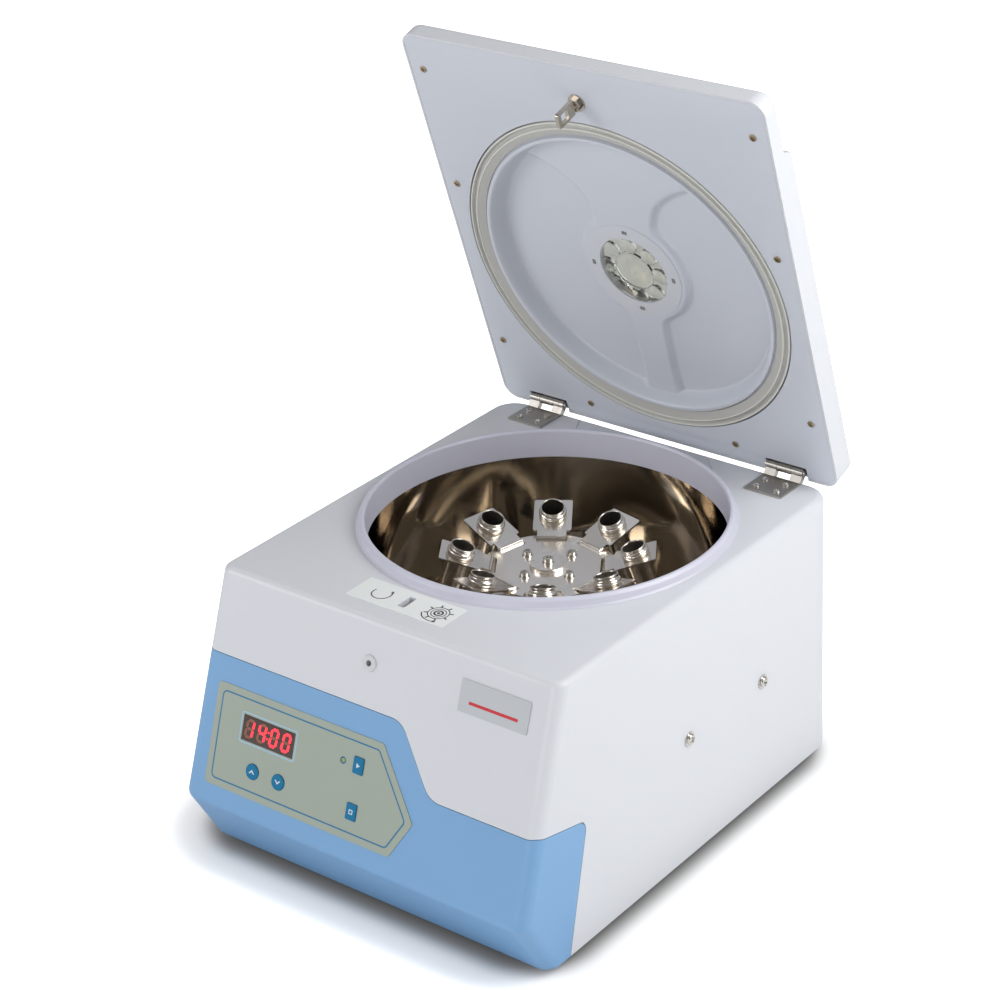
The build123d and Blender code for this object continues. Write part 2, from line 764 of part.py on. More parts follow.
with BuildPart() as leaves_lower:
    for side in (-1, 1):
        with BuildSketch(Plane.XY.offset(TOP_Z)):
            with Locations((side * HINGE_X, 141.5)):
                Rectangle(34, 29)
            with Locations(*[p for p in HINGE_SCREWS if p[0] * side > 0]):
                Circle(1.5, mode=Mode.SUBTRACT)
        extrude(amount=1.8)
        for x0, x1 in KNUCKLES:
            with BuildSketch(Plane.YZ.offset(side * HINGE_X + x0)):
                with BuildLine():
                    Polyline((152, TOP_Z), (161, TOP_Z), (HINGE_Y + KNUCKLE_R, HINGE_Z),
                             (HINGE_Y - 2, HINGE_Z + 1), (156, TOP_Z + 1.8), (152, TOP_Z + 1.8),
                             close=True)
                make_face()
                with Locations((HINGE_Y, HINGE_Z)):
                    Circle(KNUCKLE_R)
                    Circle(PIN_R, mode=Mode.SUBTRACT)
            extrude(amount=x1 - x0)
write(leaves_lower, "hinge_leaves_lower")

with BuildPart() as pins:
    for side in (-1, 1):
        with BuildSketch(Plane.YZ.offset(side * HINGE_X - 18)):
            with Locations((HINGE_Y, HINGE_Z)):
                Circle(PIN_R)
        extrude(amount=36)
        for x in (-18.0, 17.0):
            with BuildSketch(Plane.YZ.offset(side * HINGE_X + x)):
                with Locations((HINGE_Y, HINGE_Z)):
                    Circle(2.6)
            extrude(amount=1.0)
write(pins, "hinge_pins")

with BuildPart() as hinge_screws:
    with BuildSketch(Plane.XY.offset(TOP_Z + 1.8)):
        with Locations(*HINGE_SCREWS):
            Circle(2.9)
    extrude(amount=1.4, taper=20)
    with BuildSketch(Plane.XY.offset(TOP_Z - 7)):
        with Locations(*HINGE_SCREWS):
            Circle(1.5)
    extrude(amount=9)
write(hinge_screws, "hinge_screws")

# ---------------------------------------------------------------------------
# Lid: outer shell, inner liner with dish, seal, viewing port, striker
# ---------------------------------------------------------------------------
LID_SIDE = Plane(origin=LID.origin, x_dir=LID.y_dir, z_dir=(1, 0, 0))
LID_MID_Y = (LID_REAR + LID_FRONT) / 2
LID_LEN = LID_REAR - LID_FRONT
LID_SCREWS = [(side * 151.0, y) for side in (-1, 1) for y in (-332.8, -221.9, -57.5)] + [
    (-71.8, -10.6), (71.8, -10.6)]
SHELL_T = 2.0
LID_TOP = LID_FACE + LID_T
PORT_R = 32.0


def lid_form(inset, height_inset):
    """Form of the lid with its edges moved inwards by inset."""
    top = LID_TOP - height_inset
    low = LID_FACE + LID_FRONT_T - height_inset
    with BuildPart() as form:
        with BuildSketch(LID_SIDE) as outline:
            with BuildLine():
                Polyline(
                    (LID_REAR - inset, LID_FACE - (0.5 if inset else 0)), (LID_REAR - inset, top),
                    (LID_STEP + 2, top), (LID_STEP - 4, low), (LID_FRONT + inset, low),
                    (LID_FRONT + inset, LID_FACE - (0.5 if inset else 0)), close=True,
                )
            make_face()
        extrude(amount=LID_HALF_W - inset, both=True)
        with BuildSketch(LID):
            with Locations((0, LID_MID_Y)):
                RectangleRounded(2 * (LID_HALF_W - inset), LID_LEN - 2 * inset, 13 - inset)
        extrude(amount=60, mode=Mode.INTERSECT)
    return form


def hinge_notches():
    """Room in the lid for the hinge barrels."""
    with BuildPart() as notches:
        for side in (-1, 1):
            with BuildSketch(LID_SIDE.offset(side * HINGE_X - 19)):
                Circle(KNUCKLE_R + 0.9)
                with Locations((5, 1.2)):
                    Rectangle(10, 7)
            extrude(amount=38)
    return notches.part


with BuildPart() as lid_shell:
    outer_form = lid_form(0, 0)
    add(outer_form.part)
    top_edges = [
        e for e in lid_shell.edges()
        if LID.to_local_coords(e.center()).Z > LID_FACE + 12
        and abs(LID.to_local_coords(e.center()).Y - (LID_STEP - 1)) > 3.5
    ]
    fillet(top_edges, radius=6)
    add(lid_form(SHELL_T, SHELL_T + 0.4).part, mode=Mode.SUBTRACT)
    # bosses for the lid screws
    for y_limit, height in ((LID_STEP, 13), (0, 21.5)):
        with BuildSketch(LID.offset(LID_FACE + 2.6)):
            with Locations(*[p for p in LID_SCREWS if (p[1] < LID_STEP) == (y_limit < 0)]):
                Circle(4.5)
        extrude(amount=height)
    with BuildSketch(LID.offset(LID_FACE)):
        with Locations(*LID_SCREWS):
            Circle(1.5)
    extrude(amount=12, mode=Mode.SUBTRACT)
    # window over the viewing port
    with BuildSketch(LID.offset(LID_FACE + 15)):
        with Locations((0, LID_MID)):
            Circle(36)
    extrude(amount=20, mode=Mode.SUBTRACT)
    add(hinge_notches(), mode=Mode.SUBTRACT)
write(lid_shell, "lid_shell")

# Dish profile about the lid's own centre: local x is the radius, local y the height
DISH = Plane(
    origin=LID.from_local_coords(Vector(0, LID_MID, 0)), x_dir=(1, 0, 0), z_dir=-LID.y_dir
)
DISH_AXIS = Axis(DISH.origin, LID.z_dir)
FLOOR_H = 17.0
with BuildPart() as liner:
    with BuildSketch(LID.offset(LID_FACE)):
        with Locations((0, LID_MID_Y)):
            RectangleRounded(2 * (LID_HALF_W - SHELL_T - 0.2), LID_LEN - 2 * SHELL_T - 0.4, 10.8)
        with Locations((0, LID_MID)):
            Circle(SEAL_R + 0.5, mode=Mode.SUBTRACT)
        with Locations(*LID_SCREWS):
            Circle(1.6, mode=Mode.SUBTRACT)
        with Locations((STRIKER_X, STRIKER_Y)):
            Circle(3.0, mode=Mode.SUBTRACT)
    extrude(amount=2.5)
    with BuildSketch(DISH):
        with BuildLine():
            Polyline(
                (151.2, LID_FACE), (SEAL_R + 0.5, LID_FACE), (SEAL_R + 0.5, 5), (134, 5), (134, 1.6),
                (132, 1.6), (127, FLOOR_H), (PORT_R - 0.6, FLOOR_H), (PORT_R - 0.6, FLOOR_H + 2),
                (128.5, FLOOR_H + 2), (134, 7), (151.2, 7), close=True,
            )
        make_face()
    revolve(axis=DISH_AXIS)
    with BuildSketch(DISH):
        with BuildLine():
            Polyline((PORT_R - 0.6, 13.2), (46, 13.2), (51.5, 15), (52.5, FLOOR_H + 0.5),
                     (PORT_R - 0.6, FLOOR_H + 0.5), close=True)
        make_face()
    revolve(axis=DISH_AXIS)
    # raised Y on the dish floor: a straight leg to the hinge side and a flared head
    with BuildSketch(LID.offset(13.8)):
        with BuildLine():
            Polyline((-19, LID_MID), (-15, LID_MID + 110), (-17, LID_MID + 127), (17, LID_MID + 127),
                     (15, LID_MID + 110), (19, LID_MID), close=True)
        make_face()
        with BuildLine():
            Line((-24, LID_MID - 30), (24, LID_MID - 30))
            Line((24, LID_MID - 30), (25, LID_MID - 45))
            Spline((25, LID_MID - 45), (34, LID_MID - 70), (56, LID_MID - 88), (83, LID_MID - 97))
            ThreePointArc((83, LID_MID - 97), (0, LID_MID - 127.6), (-83, LID_MID - 97))
            Spline((-83, LID_MID - 97), (-56, LID_MID - 88), (-34, LID_MID - 70), (-25, LID_MID - 45))
            Line((-25, LID_MID - 45), (-24, LID_MID - 30))
        make_face()
        with Locations((0, LID_MID)):
            Circle(PORT_R - 0.6, mode=Mode.SUBTRACT)
            Circle(128.2, mode=Mode.INTERSECT)
    extrude(amount=FLOOR_H + 0.4 - 13.8)
    add(hinge_notches(), mode=Mode.SUBTRACT)
write(liner, "lid_liner")

with BuildPart() as seal:
    with BuildSketch(DISH):
        with BuildLine():
            Polyline((SEAL_R - SEAL_W, 5), (SEAL_R + 0.3, 5), (SEAL_R, 1.2), (147.5, 0.55), (137, 0.55),
                     (SEAL_R - SEAL_W, 1.4), close=True)
        make_face()
    revolve(axis=DISH_AXIS)
write(seal, "lid_seal")

with BuildPart() as port_ring:
    with BuildSketch(LID.offset(11.9)):
        with Locations((0, LID_MID)):
            Circle(44.5)
            Circle(PORT_R - 0.4, mode=Mode.SUBTRACT)
            with PolarLocations(38.0, 4):
                Rectangle(3.2, 3.2, mode=Mode.SUBTRACT)
    extrude(amount=1.3)
write(port_ring, "viewport_ring")

with BuildPart() as lens:
    with BuildSketch(LID.offset(13.2)):
        with Locations((0, LID_MID)):
            Circle(PORT_R - 0.8)
    extrude(amount=2.0)
    with BuildSketch(LID.offset(13.2)):
        with Locations((0, LID_MID)):
            Circle(21.6)
    extrude(amount=-1.6, taper=15)
write(lens, "viewport_lens")

with BuildPart() as outer_window:
    with BuildSketch(LID.offset(LID_TOP - 2.6)):
        with Locations((0, LID_MID)):
            Circle(35.8)
    extrude(amount=2.4)
write(outer_window, "outer_window")

with BuildPart() as lid_screws:
    with BuildSketch(LID.offset(LID_FACE)):
        with Locations(*LID_SCREWS):
            Circle(2.9)
    extrude(amount=-0.9, taper=20)
    with BuildSketch(LID.offset(LID_FACE - 0.2)):
        with Locations(*LID_SCREWS):
            Circle(1.5)
    extrude(amount=12)
write(lid_screws, "lid_screws")

with BuildPart() as striker:
    with BuildSketch(LID.offset(-6)):
        with Locations((STRIKER_X, STRIKER_Y)):
            Circle(2.9)
    extrude(amount=14)
    with BuildSketch(LID_SIDE.offset(STRIKER_X - 1.5)):
        with Locations((STRIKER_Y, -15.2)):
            RectangleRounded(12.4, 20.4, 1.5)
        with Locations((STRIKER_Y, BOLT_Z - HINGE_Z)):
            Rectangle(8, 8.4, mode=Mode.SUBTRACT)
    extrude(amount=3)
write(striker, "latch_striker")

with BuildPart() as striker_nut:
    with BuildSketch(LID.offset(LID_FACE)):
        with Locations((STRIKER_X, STRIKER_Y)):
            Circle(7.4)
            Circle(3.0, mode=Mode.SUBTRACT)
    extrude(amount=-1.2)
    with BuildSketch(LID.offset(LID_FACE - 1.2)):
        with Locations((STRIKER_X, STRIKER_Y)):
            RegularPolygon(5.4, 6)
            Circle(3.0, mode=Mode.SUBTRACT)
    extrude(amount=-4.0)
write(striker_nut, "striker_nut")

with BuildPart() as leaves_upper:
    for side in (-1, 1):
        with BuildSketch(LID_SIDE.offset(side * HINGE_X - 6.7)):
            Circle(KNUCKLE_R)
            with Locations((0, 3.4)):
                Rectangle(3.4, 3.6)
            Circle(PIN_R + 0.05, mode=Mode.SUBTRACT)
        extrude(amount=13.4)
        with BuildSketch(LID.offset(3.5)):
            with Locations((side * HINGE_X, -20)):
                Rectangle(28, 26)
            with Locations((side * HINGE_X, -4)):
                Rectangle(13.4, 11)
        extrude(amount=1.8)
write(leaves_upper, "hinge_leaves_upper")

# ---------------------------------------------------------------------------
# Rotor
# ---------------------------------------------------------------------------
SCREW_ANGLE = PHASE - 45.0

with BuildPart() as shaft:
    with BuildSketch(Plane.XY.offset(18)):
        Circle(SHAFT_R)
    extrude(amount=DISC_Z - 18)
    with BuildSketch(Plane.XY.offset(DISC_Z - 16)):
        Circle(2.0)
    extrude(amount=20, mode=Mode.SUBTRACT)
write(shaft, "motor_shaft")

with BuildPart() as core:
    add(ring(SHAFT_R, 30.0, 32, 72))
write(core, "motor_core")

with BuildPart() as hub:
    add(ring(SHAFT_R, 14, 172, 186))
    add(ring(SHAFT_R, 31, 185, 190))
    with BuildSketch(Plane.XY.offset(180)):
        with PolarLocations(25, 4, start_angle=SCREW_ANGLE):
            Circle(2.0)
    extrude(amount=20, mode=Mode.SUBTRACT)
write(hub, "rotor_hub")

SLOT_IN = PIVOT_R - 4.2
SLOT_OUT = PIVOT_R + 3.3
with BuildPart() as disc:
    with BuildSketch(Plane.XY.offset(DISC_Z - DISC_T)):
        Circle(DISC_R)
        Circle(SHAFT_R, mode=Mode.SUBTRACT)
        with PolarLocations(25, 4, start_angle=SCREW_ANGLE):
            Circle(2.0, mode=Mode.SUBTRACT)
        with PolarLocations((SLOT_IN + SLOT_OUT) / 2, 8, start_angle=PHASE):
            Rectangle(SLOT_OUT - SLOT_IN, 24.8, mode=Mode.SUBTRACT)
    extrude(amount=DISC_T)
write(disc, "rotor_disc")

with BuildPart() as cap:
    with BuildSketch(Plane.XY.offset(DISC_Z)):
        Circle(15)
        Circle(2.0, mode=Mode.SUBTRACT)
    extrude(amount=3.2)
    chamfer(cap.edges().group_by(Axis.Z)[-1].sort_by(SortBy.LENGTH)[-1:], length=0.6)
write(cap, "rotor_cap")


def cap_screw(z, depth, washer_r, head_r, head_h):
    """Socket cap screw with a washer, its seat at height z."""
    with BuildPart() as screw:
        with BuildSketch(Plane.XY.offset(z)):
            Circle(washer_r)
        extrude(amount=0.7)
        with BuildSketch(Plane.XY.offset(z + 0.6)):
            Circle(head_r)
        extrude(amount=head_h)
        with BuildSketch(Plane.XY.offset(z + head_h - 1.6)):
            RegularPolygon(head_r * 0.5, 6)
        extrude(amount=4, mode=Mode.SUBTRACT)
        with BuildSketch(Plane.XY.offset(z - depth)):
            Circle(2.0)
        extrude(amount=depth)
    return screw.part


disc_screw = cap_screw(DISC_Z, 7, 4.4, 3.5, 3.6)
with BuildPart() as rotor_screws:
    with PolarLocations(25, 4, start_angle=SCREW_ANGLE):
        add(disc_screw)
    add(cap_screw(DISC_Z + 3.2, 15, 4.6, 3.6, 4.0))
write(rotor_screws, "rotor_screws")

# ---------------------------------------------------------------------------
# Buckets: a plate hooked through the disc's slot, with a tube shield in it
# ---------------------------------------------------------------------------
PLATE_IN = 7.5
PLATE_OUT = 42.0
PLATE_HALF_W = 15.6
HOOK_HALF_W = 11.75


def bucket(number):
    angle = math.radians(PHASE + 45.0 * (number - 1))
    tilt = math.radians(REST_TILT)
    out = Vector(math.cos(angle), math.sin(angle), 0)
    along = out * math.cos(tilt) + Vector(0, 0, 1) * math.sin(tilt)
    normal = Vector(0, 0, 1) * math.cos(tilt) - out * math.sin(tilt)
    pivot = out * PIVOT_R + Vector(0, 0, PIVOT_Z)
    side = Plane(origin=pivot, x_dir=along, z_dir=along.cross(normal))
    flat = Plane(origin=pivot, x_dir=along, z_dir=normal)
    with BuildPart() as piece:
        # rolled edge in the slot, with the hook below the disc
        with BuildSketch(side):
            Circle(1.5)
            with BuildLine():
                Polyline((-0.35, 0.5), (0.35, -0.5), (-3.9, -3.4), (-4.6, -2.4), close=True)
            make_face()
            with Locations((4.2, 0)):
                Rectangle(8.4, PLATE_T)
        extrude(amount=HOOK_HALF_W, both=True)
        with BuildSketch(flat.offset(-PLATE_T / 2)):
            with Locations(((PLATE_IN + PLATE_OUT) / 2, 0)):
                RectangleRounded(PLATE_OUT - PLATE_IN, 2 * PLATE_HALF_W, 1.8)
            with Locations((NECK_S, 0)):
                Circle(SHIELD_R + 0.15, mode=Mode.SUBTRACT)
        extrude(amount=PLATE_T)
        # tube shield, its swaged bead resting on the plate
        with BuildSketch(Plane(origin=pivot + along * NECK_S, x_dir=along, z_dir=along.cross(normal))):
            with BuildLine():
                Line((0, -SHIELD_DROP), (2.0, -SHIELD_DROP))
                ThreePointArc((2.0, -SHIELD_DROP), (7.6, -SHIELD_DROP + 2.7), (SHIELD_R, -SHIELD_DROP + 9))
                Line((SHIELD_R, -SHIELD_DROP + 9), (SHIELD_R, 0.85))
                ThreePointArc((SHIELD_R, 0.85), (11.3, 3.5), (9.6, 6.2))
                ThreePointArc((9.6, 6.2), (9.35, 7.4), (10.0, 8.6))
                ThreePointArc((10.0, 8.6), (9.6, 9.3), (TUBE_R, 8.8))
                Line((TUBE_R, 8.8), (TUBE_R, -SHIELD_DROP + 9))
                ThreePointArc((TUBE_R, -SHIELD_DROP + 9), (6.8, -SHIELD_DROP + 3.6), (2.0, -SHIELD_DROP + 1.1))
                Line((2.0, -SHIELD_DROP + 1.1), (0, -SHIELD_DROP + 1.1))
                Line((0, -SHIELD_DROP + 1.1), (0, -SHIELD_DROP))
            make_face()
        revolve(axis=Axis(pivot + along * NECK_S, normal))
    write(piece, f"bucket_{number}")


for number in range(1, 9):
    bucket(number)
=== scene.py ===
"""Finishes and fine pieces for a bench-top laboratory centrifuge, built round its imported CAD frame."""
import json
import math

import bmesh
import bpy
import numpy as np
from mathutils import Matrix, Vector


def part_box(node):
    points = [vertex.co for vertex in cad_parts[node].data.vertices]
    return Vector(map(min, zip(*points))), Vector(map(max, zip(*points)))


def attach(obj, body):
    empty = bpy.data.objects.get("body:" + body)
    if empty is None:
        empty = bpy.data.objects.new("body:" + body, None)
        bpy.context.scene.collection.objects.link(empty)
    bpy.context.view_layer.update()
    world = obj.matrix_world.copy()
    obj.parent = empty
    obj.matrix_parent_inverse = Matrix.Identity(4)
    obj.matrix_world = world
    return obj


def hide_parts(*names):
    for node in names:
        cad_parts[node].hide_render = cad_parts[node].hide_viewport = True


bl_info = {
    "name": "Laboratory Centrifuge Finishes",
    "version": (1, 0, 0),
    "blender": (4, 5, 0),
    "location": "3D View > Sidebar > Centrifuge",
    "description": "Builds the moulded, sheet-metal and printed pieces of a bench-top centrifuge",
    "category": "Object",
}

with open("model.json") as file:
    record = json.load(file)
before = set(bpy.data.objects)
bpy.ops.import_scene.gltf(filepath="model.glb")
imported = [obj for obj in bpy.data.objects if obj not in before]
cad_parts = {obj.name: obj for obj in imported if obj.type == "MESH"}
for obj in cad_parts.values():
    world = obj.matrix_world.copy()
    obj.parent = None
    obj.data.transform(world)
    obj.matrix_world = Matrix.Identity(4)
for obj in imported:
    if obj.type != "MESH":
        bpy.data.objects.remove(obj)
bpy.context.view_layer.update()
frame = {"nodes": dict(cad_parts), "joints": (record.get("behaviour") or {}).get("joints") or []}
JOINTS = {joint["name"]: joint for joint in frame["joints"]}
MM = 0.001
WELD = 1e-7                      # points nearer than this are one point, in metres
TOP_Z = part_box("top_label")[0].z
FRONT_TOP_Y = -202.0             # upper edge of the sloping front

# ---- Places on the instrument, taken from the CAD frame ----


def front_frame():
    """Frame of the sloping front: x to the right, y up the slope, z out of the face."""
    out = -Vector(JOINTS["key_up_press"]["axis"]).normalized()
    across = Vector((1, 0, 0))
    up = out.cross(across)
    return frame_of(across, up, out, Vector((0, FRONT_TOP_Y * MM, TOP_Z)))


def frame_of(x, y, z, origin):
    """4x4 matrix from three directions and a point."""
    return Matrix((
        (x.x, y.x, z.x, origin.x), (x.y, y.y, z.y, origin.y), (x.z, y.z, z.z, origin.z), (0, 0, 0, 1),
    ))


def lid_frame():
    """Frame of the lid: x along the hinge, y towards the hinge side, z out of the lid's outer face."""
    hinge = JOINTS["lid_hinge"]
    angle = math.radians(hinge["range_deg"][1])
    y = Vector((0, math.cos(angle), -math.sin(angle)))
    z = Vector((0, math.sin(angle), math.cos(angle)))
    return frame_of(Vector((1, 0, 0)), y, z, Vector(hinge["pos_m"]))


FRONT = front_frame()
LID = lid_frame()
LID_MID = -162.6                 # the dish's centre, measured from the hinge axis
ROTOR_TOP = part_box("rotor_disc")[1].z


def local_box_centre(node, plane):
    """Centre of a CAD node's box, in millimetres of a local frame."""
    low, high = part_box(node)
    return plane.inverted() @ ((low + high) / 2) / MM


# ---- Sizes and colours a user would change ----


def colour(name, text, value):
    return bpy.props.FloatVectorProperty(name=name, description=text, default=value, min=0, max=1, size=3,
                                         subtype="COLOR")


def length(name, text, value, low=0.0):
    return bpy.props.FloatProperty(name=name, description=text, default=value, min=low, unit="LENGTH",
                                   precision=5)


class HousingFinish(bpy.types.PropertyGroup):
    shell: colour("Housing", "Cool white of the moulded housing", (0.595, 0.61, 0.64))
    panel: colour("Front panel", "Pale blue of the wrap-round front panel", (0.172, 0.345, 0.575))
    collar: colour("Collar", "Soft lavender white of the chamber collar", (0.54, 0.54, 0.62))
    grain_size: length("Grain size", "Width of one pebble of the moulded texture", 0.0016)
    grain_depth: length("Grain depth", "Depth of the moulded texture", 0.00006)


class PanelPrint(bpy.types.PropertyGroup):
    sheet: colour("Overlay", "Grey green of the membrane overlay", (0.31, 0.353, 0.295))
    border: colour("Border", "Teal line printed round the overlay", (0.008, 0.15, 0.29))
    key: colour("Keys", "Blue of the keys", (0.003, 0.15, 0.30))
    digit: colour("Digits", "Red of the lit segments", (1.0, 0.03, 0.05))
    border_width: length("Border width", "Width of the printed border", 0.0012)
    border_inset: length("Border inset", "Distance from the overlay's edge to its border", 0.006)
    digit_height: length("Digit height", "Height of one display digit", 0.0156)
    digit_pitch: length("Digit pitch", "Distance from digit to digit", 0.0122)


class LidShape(bpy.types.PropertyGroup):
    liner: colour("Liner", "Blue-white of the lid's inner face", (0.545, 0.57, 0.625))
    seal: colour("Seal", "Off-white of the ring seal", (0.47, 0.465, 0.44))
    dish_depth: length("Dish depth", "Depth of the moulded dish below the lid's face", 0.01615)
    rib_height: length("Rib height", "Height of the raised Y on the dish floor", 0.0046)
    rib_softness: length("Rib softness", "Width over which the raised Y's edge rolls off", 0.0048)
    lip_radius: length("Lip radius", "Middle of the seal's outer lip", 0.1476)
    lip_width: length("Lip width", "Width of the seal's outer lip", 0.0013)
    crest_radius: length("Crest radius", "Middle of the seal's crest line", 0.1423)


class MetalFinish(bpy.types.PropertyGroup):
    steel: colour("Steel", "Satin stainless steel of the rotor and the hinges", (0.95, 0.90, 0.84))
    bowl: colour("Bowl", "Polished stainless steel of the chamber", (0.62, 0.575, 0.51))
    bowl_roughness: bpy.props.FloatProperty(name="Bowl roughness", description="Polish of the chamber wall",
                                            default=0.07, min=0, max=1, subtype="FACTOR")
    steel_roughness: bpy.props.FloatProperty(name="Steel roughness", description="Polish of the rotor",
                                             default=0.27, min=0, max=1, subtype="FACTOR")


class StageSetup(bpy.types.PropertyGroup):
    floor: colour("Floor", "Plain pale floor", (0.97, 0.97, 0.97))
    camera_place: bpy.props.FloatVectorProperty(name="Camera", description="Where the camera stands",
                                                default=(1.1418, -1.5049, 1.2069), size=3, subtype="XYZ",
                                                unit="LENGTH")
    camera_azimuth: bpy.props.FloatProperty(name="Azimuth", description="Camera's turn from the front",
                                            default=math.radians(38.29), subtype="ANGLE")
    camera_height: bpy.props.FloatProperty(name="Elevation", description="Camera's tilt above level",
                                           default=math.radians(26.83), subtype="ANGLE")
    camera_roll: bpy.props.FloatProperty(name="Roll", description="Camera's roll about its own axis",
                                         default=math.radians(-2.10), subtype="ANGLE")
    lens: bpy.props.FloatProperty(name="Lens", description="Focal length in millimetres on a 36 mm sensor",
                                  default=97.55, min=1)
    key_power: bpy.props.FloatProperty(name="Key light", description="Power of the light at the right",
                                       default=12.5, min=0, unit="POWER")
    top_power: bpy.props.FloatProperty(name="Top light", description="Power of the light overhead",
                                       default=3.5, min=0, unit="POWER")
    ambient: bpy.props.FloatProperty(name="Ambient", description="Strength of the surrounding light",
                                     default=0.44, min=0)


# ---- Shader node groups ----


def new_group(name, inputs, outputs):
    """Shader node group with named sockets. inputs and outputs are (name, kind, default)."""
    group = bpy.data.node_groups.new(name, "ShaderNodeTree")
    for label, kind, value in inputs:
        socket = group.interface.new_socket(label, in_out="INPUT", socket_type=kind)
        socket.default_value = value
    for label, kind in outputs:
        group.interface.new_socket(label, in_out="OUTPUT", socket_type=kind)
    return group, group.nodes.new("NodeGroupInput"), group.nodes.new("NodeGroupOutput")


def node(tree, kind, **settings):
    """New node; a setting named after an input fills that input, any other sets a property."""
    made = tree.nodes.new(kind)
    for key, value in settings.items():
        if hasattr(made, key) and key not in made.inputs:
            setattr(made, key, value)
        else:
            made.inputs[key].default_value = value
    return made


def maths(tree, operation, a, b=None):
    """Math node over sockets or plain numbers; returns its output."""
    made = tree.nodes.new("ShaderNodeMath")
    made.operation = operation
    for slot, value in enumerate((a, b)):
        if value is None:
            continue
        if isinstance(value, (int, float)):
            made.inputs[slot].default_value = value
        else:
            tree.links.new(value, made.inputs[slot])
    return made.outputs[0]


def varied(tree, noise, amount, base):
    """base plus a noise centred on zero, times amount."""
    return maths(tree, "ADD", maths(tree, "MULTIPLY", maths(tree, "SUBTRACT", noise, 0.5), amount), base)


def scaled_colour(tree, tint, gain):
    """A colour socket times a gain socket."""
    made = node(tree, "ShaderNodeVectorMath", operation="SCALE")
    tree.links.new(tint, made.inputs[0])
    tree.links.new(gain, made.inputs["Scale"])
    return made.outputs[0]


def moulded_grain_group():
    """Pebbled skin of moulded plastic: mottled colour, roughness and height."""
    group, given, result = new_group(
        "Moulded Grain",
        [("Colour", "NodeSocketColor", (0.8, 0.8, 0.8, 1)), ("Grain Size", "NodeSocketFloat", 0.0016),
         ("Mottle", "NodeSocketFloat", 0.03), ("Roughness", "NodeSocketFloat", 0.4),
         ("Roughness Spread", "NodeSocketFloat", 0.08)],
        [("Colour", "NodeSocketColor"), ("Roughness", "NodeSocketFloat"), ("Height", "NodeSocketFloat")],
    )
    link = group.links.new
    place = group.nodes.new("ShaderNodeTexCoord")
    scale = maths(group, "DIVIDE", 1.0, given.outputs["Grain Size"])
    fine = node(group, "ShaderNodeTexNoise", Detail=3.0)
    link(place.outputs["Object"], fine.inputs["Vector"])
    link(scale, fine.inputs["Scale"])
    broad = node(group, "ShaderNodeTexNoise", Scale=9.0, Detail=3.0)
    link(place.outputs["Object"], broad.inputs["Vector"])
    gain = varied(group, broad.outputs["Fac"], given.outputs["Mottle"], 1.0)
    link(scaled_colour(group, given.outputs["Colour"], gain), result.inputs["Colour"])
    link(varied(group, fine.outputs["Fac"], given.outputs["Roughness Spread"], given.outputs["Roughness"]),
         result.inputs["Roughness"])
    link(fine.outputs["Fac"], result.inputs["Height"])
    return group


def settled_dust_group():
    """Faint dust on faces that look up: a mask that mixes a pale grey into the colour."""
    group, given, result = new_group(
        "Settled Dust",
        [("Colour", "NodeSocketColor", (0.8, 0.8, 0.8, 1)), ("Amount", "NodeSocketFloat", 0.1),
         ("Dust", "NodeSocketColor", (0.62, 0.60, 0.57, 1))],
        [("Colour", "NodeSocketColor"), ("Mask", "NodeSocketFloat")],
    )
    link = group.links.new
    place = group.nodes.new("ShaderNodeTexCoord")
    facing = group.nodes.new("ShaderNodeNewGeometry")
    split = group.nodes.new("ShaderNodeSeparateXYZ")
    link(facing.outputs["True Normal"], split.inputs[0])
    up = maths(group, "MAXIMUM", split.outputs["Z"], 0.0)
    cloud = node(group, "ShaderNodeTexNoise", Scale=42.0, Detail=6.0, Roughness=0.65)
    link(place.outputs["Object"], cloud.inputs["Vector"])
    patch = maths(group, "MULTIPLY", maths(group, "SUBTRACT", cloud.outputs["Fac"], 0.42), 3.0)
    patch = maths(group, "MINIMUM", maths(group, "MAXIMUM", patch, 0.0), 1.0)
    mask = maths(group, "MULTIPLY", maths(group, "MULTIPLY", up, patch), given.outputs["Amount"])
    blend = node(group, "ShaderNodeMix", data_type="RGBA")
    link(mask, blend.inputs["Factor"])
    link(given.outputs["Colour"], blend.inputs["A"])
    link(given.outputs["Dust"], blend.inputs["B"])
    link(blend.outputs["Result"], result.inputs["Colour"])
    link(mask, result.inputs["Mask"])
    return group


def brushed_metal_group():
    """Fine parallel scratches and slow tarnish of worked steel."""
    group, given, result = new_group(
        "Brushed Metal",
        [("Colour", "NodeSocketColor", (0.6, 0.6, 0.6, 1)), ("Stretch", "NodeSocketVector", (400, 400, 20)),
         ("Tarnish", "NodeSocketFloat", 0.12), ("Roughness", "NodeSocketFloat", 0.25),
         ("Scratch", "NodeSocketFloat", 0.12)],
        [("Colour", "NodeSocketColor"), ("Roughness", "NodeSocketFloat"), ("Height", "NodeSocketFloat")],
    )
    link = group.links.new
    place = group.nodes.new("ShaderNodeTexCoord")
    stretch = node(group, "ShaderNodeVectorMath", operation="MULTIPLY")
    link(place.outputs["Object"], stretch.inputs[0])
    link(given.outputs["Stretch"], stretch.inputs[1])
    scratch = node(group, "ShaderNodeTexNoise", Scale=1.0, Detail=4.0, Roughness=0.6)
    link(stretch.outputs[0], scratch.inputs["Vector"])
    slow = node(group, "ShaderNodeTexNoise", Scale=22.0, Detail=4.0, Distortion=0.6)
    link(place.outputs["Object"], slow.inputs["Vector"])
    gain = varied(group, slow.outputs["Fac"], given.outputs["Tarnish"], 1.0)
    link(scaled_colour(group, given.outputs["Colour"], gain), result.inputs["Colour"])
    link(varied(group, scratch.outputs["Fac"], given.outputs["Scratch"], given.outputs["Roughness"]),
         result.inputs["Roughness"])
    link(scratch.outputs["Fac"], result.inputs["Height"])
    return group


GROUPS = {}


